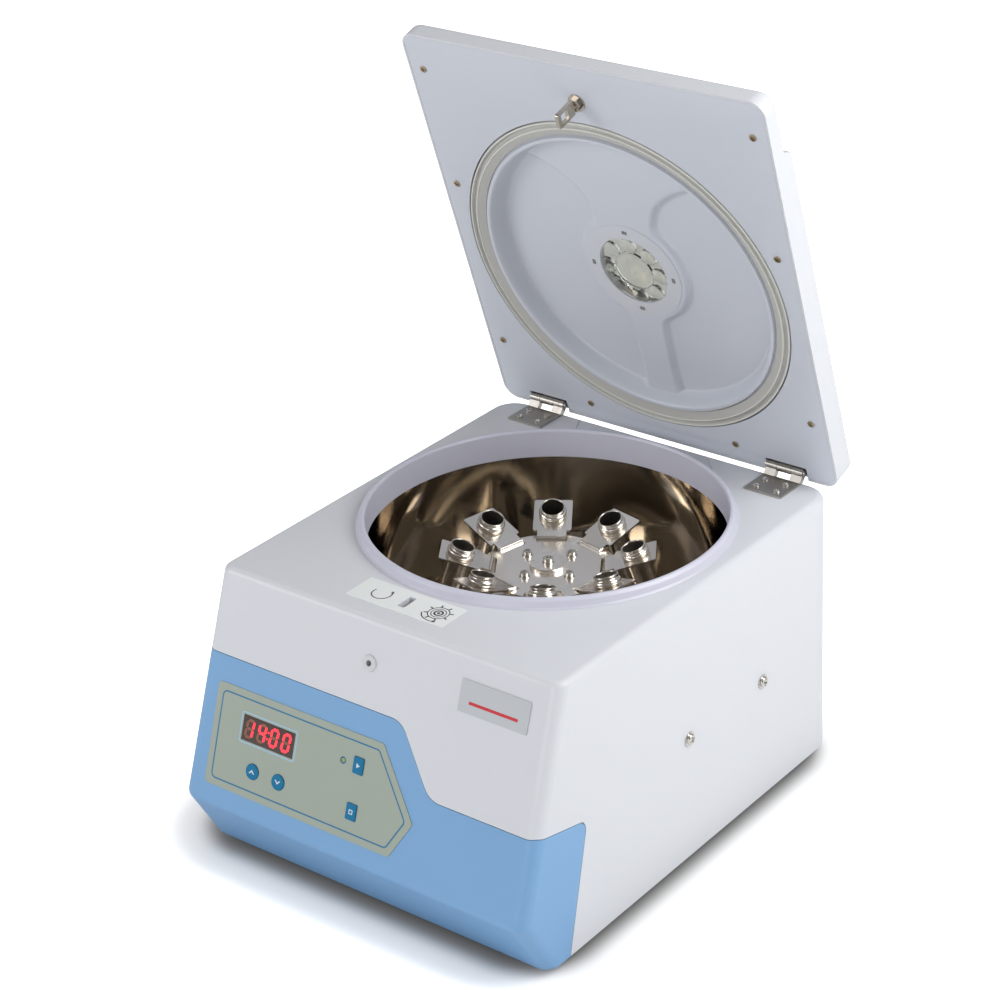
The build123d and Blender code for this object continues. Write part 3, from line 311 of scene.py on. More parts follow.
def shared_group(name):
    """The node group of that name, built the first time it is asked for."""
    makers = {"Moulded Grain": moulded_grain_group, "Settled Dust": settled_dust_group,
              "Brushed Metal": brushed_metal_group}
    if name not in GROUPS:
        GROUPS[name] = makers[name]()
    return GROUPS[name]


def blank_material(name):
    """Material with only a Principled shader in it."""
    made = bpy.data.materials.new(name)
    made.use_nodes = True
    return made, made.node_tree, made.node_tree.nodes["Principled BSDF"]


def place_group(tree, name, **values):
    """One use of a shared node group, with its values set."""
    placed = tree.nodes.new("ShaderNodeGroup")
    placed.node_tree = shared_group(name)
    for key, value in values.items():
        placed.inputs[key.replace("_", " ")].default_value = value
    return placed


def feed(tree, skin, shader, *sockets):
    """Links a skin's outputs to the shader; a socket is an input's name, fed by Roughness or else Colour."""
    for socket in sockets:
        tree.links.new(skin.outputs["Roughness" if socket == "Roughness" else "Colour"], shader.inputs[socket])


def relief(tree, shader, height, depth):
    """Bump from a height socket into the shader's normal."""
    bump = node(tree, "ShaderNodeBump", Strength=1.0, Distance=depth)
    tree.links.new(height, bump.inputs["Height"])
    tree.links.new(bump.outputs["Normal"], shader.inputs["Normal"])


def moulded(name, tint, roughness=0.38, grain=0.0016, depth=0.00006, mottle=0.03, dust=0.0, coat=0.0,
            specular=0.5, soft=0.0):
    """Moulded or painted plastic."""
    made, tree, shader = blank_material(name)
    skin = place_group(tree, "Moulded Grain", Colour=(*tint, 1), Grain_Size=grain, Mottle=mottle,
                       Roughness=roughness)
    feed(tree, skin, shader, "Roughness")
    top = skin
    if dust:
        top = place_group(tree, "Settled Dust", Amount=dust)
        feed(tree, skin, top, "Colour")
    feed(tree, top, shader, "Base Color")
    relief(tree, shader, skin.outputs["Height"], depth)
    shader.inputs["Specular IOR Level"].default_value = specular
    if coat:
        shader.inputs["Coat Weight"].default_value = coat
        shader.inputs["Coat Roughness"].default_value = 0.12
    if soft:
        shader.inputs["Subsurface Weight"].default_value = soft
        shader.inputs["Subsurface Radius"].default_value = (0.004, 0.004, 0.005)
        shader.inputs["Subsurface Scale"].default_value = 1.0
    return made


def worked_metal(name, tint, roughness=0.27, stretch=(60, 60, 900), depth=0.00002, tarnish=0.12,
                 scratch=0.14):
    """Brushed, turned or plated metal."""
    made, tree, shader = blank_material(name)
    skin = place_group(tree, "Brushed Metal", Colour=(*tint, 1), Stretch=stretch, Roughness=roughness,
                       Tarnish=tarnish, Scratch=scratch)
    feed(tree, skin, shader, "Base Color", "Roughness")
    relief(tree, shader, skin.outputs["Height"], depth)
    shader.inputs["Metallic"].default_value = 1.0
    return made


def clear_plastic(name, tint, roughness=0.04, ior=1.49, waviness=0.00002):
    """Clear moulded plastic with a faint flow pattern."""
    made, tree, shader = blank_material(name)
    skin = place_group(tree, "Moulded Grain", Colour=(*tint, 1), Grain_Size=0.006, Mottle=0.02,
                       Roughness=roughness, Roughness_Spread=0.03)
    feed(tree, skin, shader, "Base Color", "Roughness")
    relief(tree, shader, skin.outputs["Height"], waviness)
    shader.inputs["IOR"].default_value = ior
    shader.inputs["Transmission Weight"].default_value = 1.0
    return made


def glowing(name, tint, strength):
    """Lit display segment or lamp, a little uneven across its face."""
    made, tree, shader = blank_material(name)
    skin = place_group(tree, "Moulded Grain", Colour=(*tint, 1), Grain_Size=0.004, Mottle=0.25, Roughness=0.3)
    feed(tree, skin, shader, "Base Color", "Emission Color", "Roughness")
    shader.inputs["Emission Strength"].default_value = strength
    return made


def polished_bowl(name, tint, roughness):
    """Deep-drawn polished bowl: upright draw streaks that wander a little, a ripple in the wall, and brownish
    streaks of painted reflection in its colour.
    """
    made, tree, shader = blank_material(name)
    link = tree.links.new
    skin = place_group(tree, "Brushed Metal", Colour=(*tint, 1), Stretch=(260, 260, 6), Roughness=roughness,
                       Tarnish=0.35, Scratch=0.10)
    feed(tree, skin, shader, "Roughness")
    place = tree.nodes.new("ShaderNodeTexCoord")
    squeeze = node(tree, "ShaderNodeVectorMath", operation="MULTIPLY")
    squeeze.inputs[1].default_value = (6, 6, 3.5)
    link(place.outputs["Object"], squeeze.inputs[0])
    ripple = node(tree, "ShaderNodeTexNoise", Scale=1.0, Detail=2.0, Roughness=0.45, Distortion=1.6)
    link(squeeze.outputs[0], ripple.inputs["Vector"])
    # painted reflection: the ripple's noise darkens the colour in brownish streaks that stand for reflected
    # studio light and dark
    bands = node(tree, "ShaderNodeValToRGB")
    bands.color_ramp.elements[0].position = 0.36
    bands.color_ramp.elements[0].color = (0.60, 0.50, 0.38, 1)
    bands.color_ramp.elements[1].position = 0.66
    bands.color_ramp.elements[1].color = (1, 1, 1, 1)
    link(ripple.outputs["Fac"], bands.inputs["Fac"])
    painted_reflection = node(tree, "ShaderNodeMix", data_type="RGBA", blend_type="MULTIPLY")
    painted_reflection.inputs["Factor"].default_value = 0.30
    link(skin.outputs["Colour"], painted_reflection.inputs["A"])
    link(bands.outputs["Color"], painted_reflection.inputs["B"])
    link(painted_reflection.outputs["Result"], shader.inputs["Base Color"])
    relief(tree, shader, ripple.outputs["Fac"], 0.0005)
    shader.inputs["Metallic"].default_value = 1.0
    return made


MATERIALS = {}


def finish(name):
    """The named finish, made once from the colours in the settings."""
    if name in MATERIALS:
        return MATERIALS[name]
    scene = bpy.context.scene
    housing, lid, metal, panel = (scene.centrifuge_housing, scene.centrifuge_lid, scene.centrifuge_metal,
                                  scene.centrifuge_panel)
    grain, depth = housing.grain_size, housing.grain_depth
    makers = {
        "housing": lambda: moulded("housing_white", housing.shell, 0.36, grain, depth, 0.03, dust=0.03),
        "lid_outer": lambda: moulded("lid_white", housing.shell, 0.34, grain, depth, 0.03, dust=0.03),
        "panel": lambda: moulded("panel_blue", housing.panel, 0.40, grain, depth, 0.06),
        "collar": lambda: moulded("collar_lavender", housing.collar, 0.34, 0.003, 0.00004, 0.04, soft=0.12),
        "liner": lambda: moulded("liner_blue_white", lid.liner, 0.33, 0.0024, 0.00004, 0.03),
        "seal": lambda: moulded("seal_silicone", lid.seal, 0.42, 0.0011, 0.00005, 0.08, soft=0.08),
        # the lips are a lighter copy of the seal's silicone: painted highlight on their crests
        "seal_lip": lambda: moulded("seal_lip_painted_highlight", (0.66, 0.66, 0.60), 0.40, 0.0011, 0.00004, 0.08),
        "port": lambda: moulded("port_ring_white", (0.56, 0.58, 0.62), 0.30, 0.002, 0.00003, 0.03),
        "clip": lambda: moulded("port_clip_grey", (0.22, 0.21, 0.20), 0.35, 0.0008, 0.00003, 0.2),
        "lens": lambda: clear_plastic("lens_clear", (0.84, 0.84, 0.79)),
        "window": lambda: clear_plastic("lid_window_clear", (0.86, 0.88, 0.84), 0.03, 1.49, 0.00001),
        "overlay": lambda: moulded("overlay_grey_green", panel.sheet, 0.46, 0.0007, 0.00002, 0.05),
        "border": lambda: moulded("border_teal_ink", panel.border, 0.45, 0.0006, 0.00001, 0.15),
        "key": lambda: moulded("key_blue", panel.key, 0.42, 0.0007, 0.00002, 0.2, specular=0.25),
        "mark": lambda: moulded("key_mark_white", (0.56, 0.64, 0.68), 0.4, 0.0006, 0.00001, 0.1),
        "bezel": lambda: moulded("bezel_pale_blue", (0.30, 0.50, 0.64), 0.4, 0.0006, 0.00001, 0.1),
        "display": lambda: moulded("display_smoke", (0.050, 0.026, 0.020), 0.16, 0.004, 0.00001, 0.3,
                                   coat=0.6),
        "segment_off": lambda: moulded("segment_unlit", (0.24, 0.085, 0.045), 0.35, 0.002, 0.00001, 0.3),
        "segment_on": lambda: glowing("segment_lit", panel.digit, 1.1),
        "lamp": lambda: glowing("lamp_olive", (0.26, 0.30, 0.10), 0.05),
        "plate": lambda: moulded("name_plate_silver", (0.47, 0.49, 0.51), 0.32, 0.0009, 0.00002, 0.08,
                                 coat=0.2),
        "red": lambda: moulded("plate_red_ink", (0.52, 0.022, 0.03), 0.35, 0.0008, 0.00001, 0.15),
        "label": lambda: moulded("label_white", (0.73, 0.755, 0.74), 0.30, 0.0012, 0.00001, 0.05, coat=0.15),
        "ink": lambda: moulded("label_black_ink", (0.03, 0.03, 0.035), 0.4, 0.0007, 0.00001, 0.3),
        "bush": lambda: moulded("bush_white", (0.56, 0.57, 0.58), 0.32, 0.0012, 0.00003, 0.05),
        "rubber": lambda: moulded("foot_rubber", (0.035, 0.035, 0.037), 0.75, 0.0012, 0.0001, 0.4,
                                  specular=0.3),
        "black": lambda: moulded("fitting_black", (0.022, 0.022, 0.024), 0.4, 0.0011, 0.00006, 0.3),
        "rocker": lambda: moulded("rocker_red", (0.42, 0.02, 0.02), 0.3, 0.0011, 0.00004, 0.2),
        "board": lambda: moulded("circuit_green", (0.02, 0.14, 0.06), 0.42, 0.0014, 0.00008, 0.5),
        "painted": lambda: moulded("tray_grey_paint", (0.36, 0.37, 0.39), 0.45, 0.0012, 0.00008, 0.1,
                                   dust=0.1),
        "bowl": lambda: polished_bowl("bowl_polished_steel", metal.bowl, metal.bowl_roughness),
        "steel": lambda: worked_metal("rotor_satin_steel", metal.steel, metal.steel_roughness,
                                      (26, 26, 400), 0.000001, 0.04, 0.04),
        "bucket": lambda: worked_metal("bucket_drawn_steel", (0.80, 0.76, 0.70), 0.23, (40, 40, 500),
                                       0.000002, 0.06, 0.05),
        "screw": lambda: worked_metal("screw_plated_steel", (0.62, 0.60, 0.56), 0.24, (900, 900, 900),
                                      0.00001, 0.25, 0.2),
        "lid_screw": lambda: worked_metal("lid_screw_brassed", (0.42, 0.33, 0.22), 0.36, (900, 900, 900),
                                          0.00001, 0.5, 0.2),
        "hinge": lambda: worked_metal("hinge_stainless", (0.40, 0.38, 0.35), 0.34, (900, 60, 60), 0.00002,
                                      0.3, 0.2),
        "striker": lambda: worked_metal("striker_stainless", (0.50, 0.46, 0.40), 0.25, (60, 60, 900),
                                        0.00002, 0.4, 0.2),
        "cast": lambda: worked_metal("motor_cast", (0.42, 0.42, 0.43), 0.5, (300, 300, 300), 0.0001, 0.3,
                                     0.2),
        "zinc": lambda: worked_metal("zinc_plate", (0.55, 0.56, 0.56), 0.34, (60, 700, 60), 0.00003, 0.25,
                                     0.2),
    }
    MATERIALS[name] = makers[name]()
    return MATERIALS[name]


def dress(finish_name, *nodes):
    """Gives CAD nodes a finish through their material slots."""
    for name in nodes:
        piece = frame["nodes"][name]
        piece.data.materials.clear()
        piece.data.materials.append(finish(finish_name))


# ---- Mesh helpers ----


def rounded(points, radius, steps=5):
    """Closed outline with its corners rounded; radius is one number or one per corner."""
    radii = radius if isinstance(radius, (list, tuple)) else [radius] * len(points)
    made = []
    for i, point in enumerate(points):
        here, before = Vector(point), Vector(points[i - 1])
        after = Vector(points[(i + 1) % len(points)])
        r = radii[i]
        if r <= 0:
            made.append((here.x, here.y))
            continue
        a, b = (before - here), (after - here)
        turn = a.angle(b)
        reach = min(r / math.tan(turn / 2), 0.49 * a.length, 0.49 * b.length)
        start, end = here + a.normalized() * reach, here + b.normalized() * reach
        for k in range(steps + 1):
            t = k / steps
            made.append(tuple((1 - t) ** 2 * start + 2 * t * (1 - t) * here + t * t * end))
    return made


def rectangle(width, height, at=(0, 0), radius=0.0, steps=5):
    """Outline of a rectangle about a point."""
    x, y = at
    w, h = width / 2, height / 2
    corners = [(x - w, y - h), (x + w, y - h), (x + w, y + h), (x - w, y + h)]
    return rounded(corners, radius, steps) if radius else corners


def circle(radius, at=(0, 0), count=48, phase=0.0):
    """Outline of a circle about a point."""
    return [(at[0] + radius * math.cos(phase + 2 * math.pi * k / count),
             at[1] + radius * math.sin(phase + 2 * math.pi * k / count)) for k in range(count)]


def level_ring(radius, z, count, phase=0.0):
    """Points of a level circle about the z axis."""
    return [(x, y, z) for x, y in circle(radius, (0, 0), count, phase)]


def stacked_faces(count, levels):
    """Faces of stacked rings of points, from a first point (0) to a last one, which follows the rings."""
    faces = []
    end = 1 + (levels - 1) * count
    for k in range(count):
        n = (k + 1) % count
        faces.append((0, 1 + k, 1 + n))
        for a in range(1, end, count):
            faces.append((a + k, a + count + k, a + count + n, a + n))
        faces.append((end + n, end + k, end + count))
    return faces


def keep(name, mesh, material, body, sharp=35.0, stands_for=()):
    """Puts a finished mesh, already in place, into the scene on its CAD body."""
    piece = bpy.data.objects.new(name, mesh)
    bpy.context.scene.collection.objects.link(piece)
    if material is not None:
        mesh.materials.clear()
        mesh.materials.append(finish(material))
    mesh.shade_smooth()
    mesh.set_sharp_from_angle(angle=math.radians(sharp))
    if stands_for:
        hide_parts(*stands_for)
    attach(piece, body)
    return piece


def clean(mesh):
    """Welds a mesh's doubled points and turns its faces outwards."""
    bm = bmesh.new()
    bm.from_mesh(mesh)
    bmesh.ops.remove_doubles(bm, verts=bm.verts, dist=WELD)
    bmesh.ops.recalc_face_normals(bm, faces=bm.faces)
    bm.to_mesh(mesh)
    bm.free()


def mesh_from(name, points, faces, plane=None):
    """Mesh from points in millimetres of a local frame."""
    mesh = bpy.data.meshes.new(name)
    mesh.from_pydata([tuple(p) for p in points], [], [tuple(f) for f in faces])
    mesh.transform(Matrix.Scale(MM, 4))
    if plane is not None:
        mesh.transform(plane)
    clean(mesh)
    mesh.update()
    return mesh


def join_meshes(name, meshes):
    """One mesh from several, with their materials kept apart."""
    bm = bmesh.new()
    materials = []
    for mesh in meshes:
        before = len(bm.faces)
        bm.from_mesh(mesh)
        bm.faces.ensure_lookup_table()
        slots = []
        for material in mesh.materials or [None]:
            if material not in materials:
                materials.append(material)
            slots.append(materials.index(material))
        for face in bm.faces[before:]:
            face.material_index = slots[min(face.material_index, len(slots) - 1)]
        bpy.data.meshes.remove(mesh)
    made = bpy.data.meshes.new(name)
    bm.to_mesh(made)
    bm.free()
    for material in materials:
        if material is not None:
            made.materials.append(material)
    return made


def lathe(name, profile, plane, count=96, closed=True):
    """Turned shape: profile is (radius, height) in millimetres about the local z axis."""
    points, faces, rings = [], [], []
    for r, z in profile:
        if abs(r) < 1e-6:
            rings.append([len(points)])
            points.append((0, 0, z))
        else:
            rings.append(list(range(len(points), len(points) + count)))
            points += level_ring(r, z, count)
    pairs = list(zip(rings, rings[1:])) + ([(rings[-1], rings[0])] if closed else [])
    for a, b in pairs:
        if len(a) == 1 and len(b) == 1:
            continue
        for k in range(count):
            n = (k + 1) % count
            if len(a) == 1:
                faces.append((a[0], b[n], b[k]))
            elif len(b) == 1:
                faces.append((a[k], a[n], b[0]))
            else:
                faces.append((a[k], a[n], b[n], b[k]))
    return mesh_from(name, points, faces, plane)


def flat_sheet(name, outlines, thickness, plane, lift=0.0, edge=0.0):
    """Flat sheet with holes. Outlines are closed loops in millimetres; its back lies lift above the plane."""
    curve = bpy.data.curves.new(name, "CURVE")
    curve.dimensions = "2D"
    curve.fill_mode = "BOTH"
    for loop in outlines:
        spline = curve.splines.new("POLY")
        spline.points.add(len(loop) - 1)
        for point, (x, y) in zip(spline.points, loop):
            point.co = (x, y, 0, 1)
        spline.use_cyclic_u = True
    curve.extrude = thickness / 2 - edge
    if edge:
        curve.bevel_depth = edge
        curve.bevel_resolution = 2
        curve.offset = -edge
    holder = bpy.data.objects.new(name, curve)
    bpy.context.scene.collection.objects.link(holder)
    bpy.context.view_layer.update()
    made = bpy.data.meshes.new_from_object(holder.evaluated_get(bpy.context.evaluated_depsgraph_get()))
    bpy.data.objects.remove(holder)
    bpy.data.curves.remove(curve)
    made.transform(Matrix.Translation((0, 0, lift + thickness / 2)))
    made.transform(Matrix.Scale(MM, 4))
    made.transform(plane)
    clean(made)
    made.name = name
    return made


# ---- Geometry Nodes trees ----


def geometry_tree(name, inputs):
    """Empty geometry tree with a Geometry input, the named inputs and a Geometry output."""
    tree = bpy.data.node_groups.new(name, "GeometryNodeTree")
    tree.interface.new_socket("Geometry", in_out="INPUT", socket_type="NodeSocketGeometry")
    for label, kind, value in inputs:
        socket = tree.interface.new_socket(label, in_out="INPUT", socket_type=kind)
        if value is not None:
            socket.default_value = value
    tree.interface.new_socket("Geometry", in_out="OUTPUT", socket_type="NodeSocketGeometry")
    return tree, tree.nodes.new("NodeGroupInput"), tree.nodes.new("NodeGroupOutput")


def end_tree(tree, given, result, geometry):
    """Realizes the instances, sets the material and closes the tree."""
    real = tree.nodes.new("GeometryNodeRealizeInstances")
    paint = tree.nodes.new("GeometryNodeSetMaterial")
    tree.links.new(geometry, real.inputs[0])
    tree.links.new(real.outputs[0], paint.inputs["Geometry"])
    tree.links.new(given.outputs["Material"], paint.inputs["Material"])
    tree.links.new(paint.outputs[0], result.inputs[0])


def swept_ring_tree():
    """A rounded-rectangle section swept round a circle: seals, gaskets and lips."""
    tree, given, result = geometry_tree("Swept Ring", [
        ("Radius", "NodeSocketFloat", 0.1), ("Width", "NodeSocketFloat", 0.01),
        ("Height", "NodeSocketFloat", 0.004), ("Corner", "NodeSocketFloat", 0.001),
        ("Steps", "NodeSocketInt", 192), ("Material", "NodeSocketMaterial", None)])
    link = tree.links.new
    rail = node(tree, "GeometryNodeCurvePrimitiveCircle")
    link(given.outputs["Radius"], rail.inputs["Radius"])
    link(given.outputs["Steps"], rail.inputs["Resolution"])
    section = node(tree, "GeometryNodeCurvePrimitiveQuadrilateral")
    link(given.outputs["Width"], section.inputs["Width"])
    link(given.outputs["Height"], section.inputs["Height"])
    corner = node(tree, "GeometryNodeFilletCurve", mode="POLY")
    corner.inputs["Count"].default_value = 5
    link(section.outputs[0], corner.inputs["Curve"])
    link(given.outputs["Corner"], corner.inputs["Radius"])
    sweep = node(tree, "GeometryNodeCurveToMesh")
    link(rail.outputs[0], sweep.inputs["Curve"])
    link(corner.outputs[0], sweep.inputs["Profile Curve"])
    end_tree(tree, given, result, sweep.outputs[0])
    return tree


def fastener_rows_tree():
    """One fastener on each point, its head towards the point's 'facing' and its recess turned at random."""
    tree, given, result = geometry_tree("Fastener Rows", [
        ("Fastener", "NodeSocketObject", None), ("Size", "NodeSocketFloat", 1.0),
        ("Seed", "NodeSocketInt", 3), ("Material", "NodeSocketMaterial", None)])
    link = tree.links.new
    part = tree.nodes.new("GeometryNodeObjectInfo")
    link(given.outputs["Fastener"], part.inputs["Object"])
    facing = node(tree, "GeometryNodeInputNamedAttribute", data_type="FLOAT_VECTOR", Name="facing")
    aim = node(tree, "FunctionNodeAlignRotationToVector", axis="Z")
    link(facing.outputs["Attribute"], aim.inputs["Vector"])
    chance = node(tree, "FunctionNodeRandomValue", data_type="FLOAT")
    for socket in chance.inputs:
        if socket.name == "Max" and socket.type == "VALUE":
            socket.default_value = 2 * math.pi
    link(given.outputs["Seed"], chance.inputs["Seed"])
    spin = tree.nodes.new("FunctionNodeAxisAngleToRotation")
    link([s for s in chance.outputs if s.type == "VALUE"][0], spin.inputs["Angle"])
    turn = node(tree, "FunctionNodeRotateRotation", rotation_space="LOCAL")
    link(aim.outputs[0], turn.inputs["Rotation"])
    link(spin.outputs[0], turn.inputs["Rotate By"])
    spread = tree.nodes.new("GeometryNodeInstanceOnPoints")
    link(given.outputs["Geometry"], spread.inputs["Points"])
    link(part.outputs["Geometry"], spread.inputs["Instance"])
    link(turn.outputs[0], spread.inputs["Rotation"])
    link(given.outputs["Size"], spread.inputs["Scale"])
    end_tree(tree, given, result, spread.outputs[0])
    return tree


def printed_line_tree():
    """A flat ribbon along an outline, with rounded corners: printed borders and inlays."""
    tree, given, result = geometry_tree("Printed Line", [
        ("Width", "NodeSocketFloat", 0.001), ("Thickness", "NodeSocketFloat", 0.00006),
        ("Corner", "NodeSocketFloat", 0.002), ("Material", "NodeSocketMaterial", None)])
    link = tree.links.new
    path = tree.nodes.new("GeometryNodeMeshToCurve")
    link(given.outputs["Geometry"], path.inputs["Mesh"])
    bend = node(tree, "GeometryNodeFilletCurve", mode="POLY")
    bend.inputs["Count"].default_value = 6
    bend.inputs["Limit Radius"].default_value = True
    link(path.outputs[0], bend.inputs["Curve"])
    link(given.outputs["Corner"], bend.inputs["Radius"])
    flat = node(tree, "GeometryNodeSetCurveNormal", mode="Z_UP")
    link(bend.outputs[0], flat.inputs["Curve"])
    section = node(tree, "GeometryNodeCurvePrimitiveQuadrilateral")
    link(given.outputs["Width"], section.inputs["Width"])
    link(given.outputs["Thickness"], section.inputs["Height"])
    sweep = node(tree, "GeometryNodeCurveToMesh")
    sweep.inputs["Fill Caps"].default_value = True
    link(flat.outputs[0], sweep.inputs["Curve"])
    link(section.outputs[0], sweep.inputs["Profile Curve"])
    end_tree(tree, given, result, sweep.outputs[0])
    return tree


TREES = {}


def run_tree(kind, seed_mesh, material, **inputs):
    """Runs a geometry tree on a mesh and gives back the plain mesh it makes."""
    makers = {"Swept Ring": swept_ring_tree, "Fastener Rows": fastener_rows_tree,
              "Printed Line": printed_line_tree}
    if kind not in TREES:
        TREES[kind] = makers[kind]()
    tree = TREES[kind]
    holder = bpy.data.objects.new("holder", seed_mesh)
    bpy.context.scene.collection.objects.link(holder)
    modifier = holder.modifiers.new(kind, "NODES")
    modifier.node_group = tree
    identifiers = {s.name: s.identifier for s in tree.interface.items_tree if s.in_out == "INPUT"}
    modifier[identifiers["Material"]] = finish(material)
    for key, value in inputs.items():
        modifier[identifiers[key]] = value
    bpy.context.view_layer.update()
    made = bpy.data.meshes.new_from_object(holder.evaluated_get(bpy.context.evaluated_depsgraph_get()))
    holder.modifiers.remove(modifier)
    bpy.data.objects.remove(holder)
    bpy.data.meshes.remove(seed_mesh)
    return made


def point_mesh(places, facings):
    """Loose points with the direction each fastener faces."""
    mesh = bpy.data.meshes.new("points")
    mesh.from_pydata([tuple(p) for p in places], [], [])
    attribute = mesh.attributes.new("facing", "FLOAT_VECTOR", "POINT")
    for item, facing in zip(attribute.data, facings):
        item.vector = facing
    return mesh


def outline_mesh(loop, lift, closed):
    """A run of edges, closed or open, in metres of its own flat frame."""
    mesh = bpy.data.meshes.new("outline")
    edges = [(k, k + 1) for k in range(len(loop) - 1)] + ([(len(loop) - 1, 0)] if closed else [])
    mesh.from_pydata([(x * MM, y * MM, lift * MM) for x, y in loop], edges, [])
    return mesh


def printed_line(name, loop, width, material, plane, lift, body, corner=2.0, closed=True, thick=0.06):
    """A printed line on a flat face, as a finished piece."""
    made = run_tree("Printed Line", outline_mesh(loop, lift, closed), material, Width=width,
                    Thickness=thick * MM, Corner=corner * MM)
    made.transform(plane)
    return keep(name, made, None, body)


# ---- Fastener shapes ----

HEAD_SHARP = 32.0                # edges of a screw head steeper than this stay sharp, in degrees
DISC_SCREWS_R = 25.0             # circle of the four screws in the rotor disc


def recessed_head(name, radius, height, recess, depth, washer=None, dome=0.35, rings=13, spokes=48,
                  shank=None):
    """Screw head as a turned cap whose top is sunk by a cross or hexagon recess, with an optional washer."""
    def sink(x, y):
        if recess == "cross":
            arm, half = radius * 0.62, radius * 0.13
            inside = min(max(arm - abs(x), -1), half - abs(y)), min(max(arm - abs(y), -1), half - abs(x))
            edge = max(inside)
            edge = max(edge, radius * 0.26 - abs(x) - abs(y))
        else:
            flats = [abs(x * math.cos(a) + y * math.sin(a)) for a in (0, math.pi / 3, 2 * math.pi / 3)]
            edge = radius * 0.50 - max(flats)
        return depth * min(max(edge / (radius * 0.05) + 0.5, 0.0), 1.0)

    points = [(0, 0, height - sink(0, 0))]
    for ring in range(rings):
        t = (ring + 1) / rings
        r = radius * t
        for k in range(spokes):
            a = 2 * math.pi * (k + 0.5) / spokes
            x, y = r * math.cos(a), r * math.sin(a)
            fall = height * dome * (1 - math.sqrt(max(0.0, 1 - t ** 3)))
            points.append((x, y, height - fall - sink(x, y)))
    skirt = [(radius * 1.02, height * (1 - dome) * 0.55), (radius, 0.0)]
    tail = [(shank or radius * 0.5, 0.0), (shank or radius * 0.5, -3.0)]
    if washer:
        w, t = washer
        skirt += [(w - 0.15, 0.0), (w, -0.12), (w, -t + 0.1), (w - 0.1, -t)]
        tail = [(radius * 0.5, -t), (radius * 0.5, -t - 2.0)]
    for r, z in skirt + tail:
        points += level_ring(r, z, spokes, math.pi / spokes)
    points.append((0, 0, tail[-1][1]))
    mesh = mesh_from(name, points, stacked_faces(spokes, rings + len(skirt) + len(tail)))
    holder = bpy.data.objects.new(name, mesh)
    mesh.shade_smooth()
    return holder


def fastener_mesh(places, facings, shape, material, seed):
    """Like fasteners as a bare mesh."""
    bpy.context.scene.collection.objects.link(shape)
    made = run_tree("Fastener Rows", point_mesh(places, facings), material, Fastener=shape, Size=1.0,
                    Seed=seed)
    bpy.data.objects.remove(shape)
    return made


def fastener_rows(name, places, facings, shape, material, body, nodes, seed):
    """All the like fasteners of one body as one piece."""
    made = fastener_mesh(places, facings, shape, material, seed)
    return keep(name, made, None, body, HEAD_SHARP, nodes)


# ---- Housing, collar and bowl ----


class CENTRIFUGE_OT_housing(bpy.types.Operator):
    """Finishes the moulded housing, its front panel, the tray and the feet"""
    bl_idname = "centrifuge.housing"
    bl_label = "Housing"

    def execute(self, context):
        dress("housing", "housing_shell")
        dress("panel", "front_panel")
        dress("painted", "base_tray")
        dress("rubber", "rubber_feet")
        return {"FINISHED"}


class CENTRIFUGE_OT_chamber(bpy.types.Operator):
    """Builds the soft chamber collar and polishes the bowl"""
    bl_idname = "centrifuge.chamber"
    bl_label = "Chamber"

    def execute(self, context):
        dress("bowl", "chamber_bowl")
        bowl_top = 218.5
        section = rounded(
            [(142.6, bowl_top), (146.5, bowl_top), (146.5, 235.0), (150.6, 235.0), (149.0, 236.6),
             (147.8, 241.0), (145.8, 243.15), (143.6, 243.1), (142.6, 241.2)],
            [0, 0, 0, 0.25, 1.8, 1.8, 1.6, 1.2, 1.2])
        keep("collar_moulded", lathe("collar_moulded", section, Matrix.Identity(4), 256), "collar", "base", 40,
             ("chamber_collar",))
        return {"FINISHED"}


# ---- Lid ----

LID_FACE = 0.85                  # inner face of the lid's flat plate above the hinge axis
PORT_R = 31.4                    # opening in the dish for the viewing port
BOSS_R = 46.5                    # flat round boss about the port
DISH_R = 134.0                   # outside of the dish's wall
LENS_BACK = 15.2                 # inner end of the clear lens


def soft_step(low, high, value):
    t = np.clip((value - low) / (high - low), 0, 1)
    return t * t * (3 - 2 * t)


def signed_distance(x, y, outline):
    """Distance from points to a closed outline, negative inside."""
    loop = np.array(outline, float)
    nearest = np.full(x.shape, 1e9)
    inside = np.zeros(x.shape, bool)
    for (ax, ay), (bx, by) in zip(loop, np.roll(loop, -1, axis=0)):
        ex, ey = bx - ax, by - ay
        t = np.clip(((x - ax) * ex + (y - ay) * ey) / (ex * ex + ey * ey + 1e-12), 0, 1)
        nearest = np.minimum(nearest, np.hypot(x - ax - t * ex, y - ay - t * ey))
        crosses = (ay > y) != (by > y)
        inside ^= crosses & (x < (bx - ax) * (y - ay) / (by - ay + 1e-12) + ax)
    return np.where(inside, -nearest, nearest)


def soft_union(a, b, width):
    """Blends two distances so that their join has a fillet."""
    h = np.clip(0.5 + 0.5 * (b - a) / width, 0, 1)
    return b * (1 - h) + a * h - width * h * (1 - h)


def smooth_through(points, steps=8):
    """Catmull-Rom curve through the points."""
    made = []
    padded = [points[0], *points, points[-1]]
    for p0, p1, p2, p3 in zip(padded, padded[1:], padded[2:], padded[3:]):
        for k in range(steps):
            t = k / steps
            made.append(tuple(
                0.5 * (2 * b + (c - a) * t + (2 * a - 5 * b + 4 * c - d) * t * t
                       + (3 * b - a - 3 * c + d) * t ** 3)
                for a, b, c, d in zip(p0, p1, p2, p3)))
    made.append(points[-1])
    return made


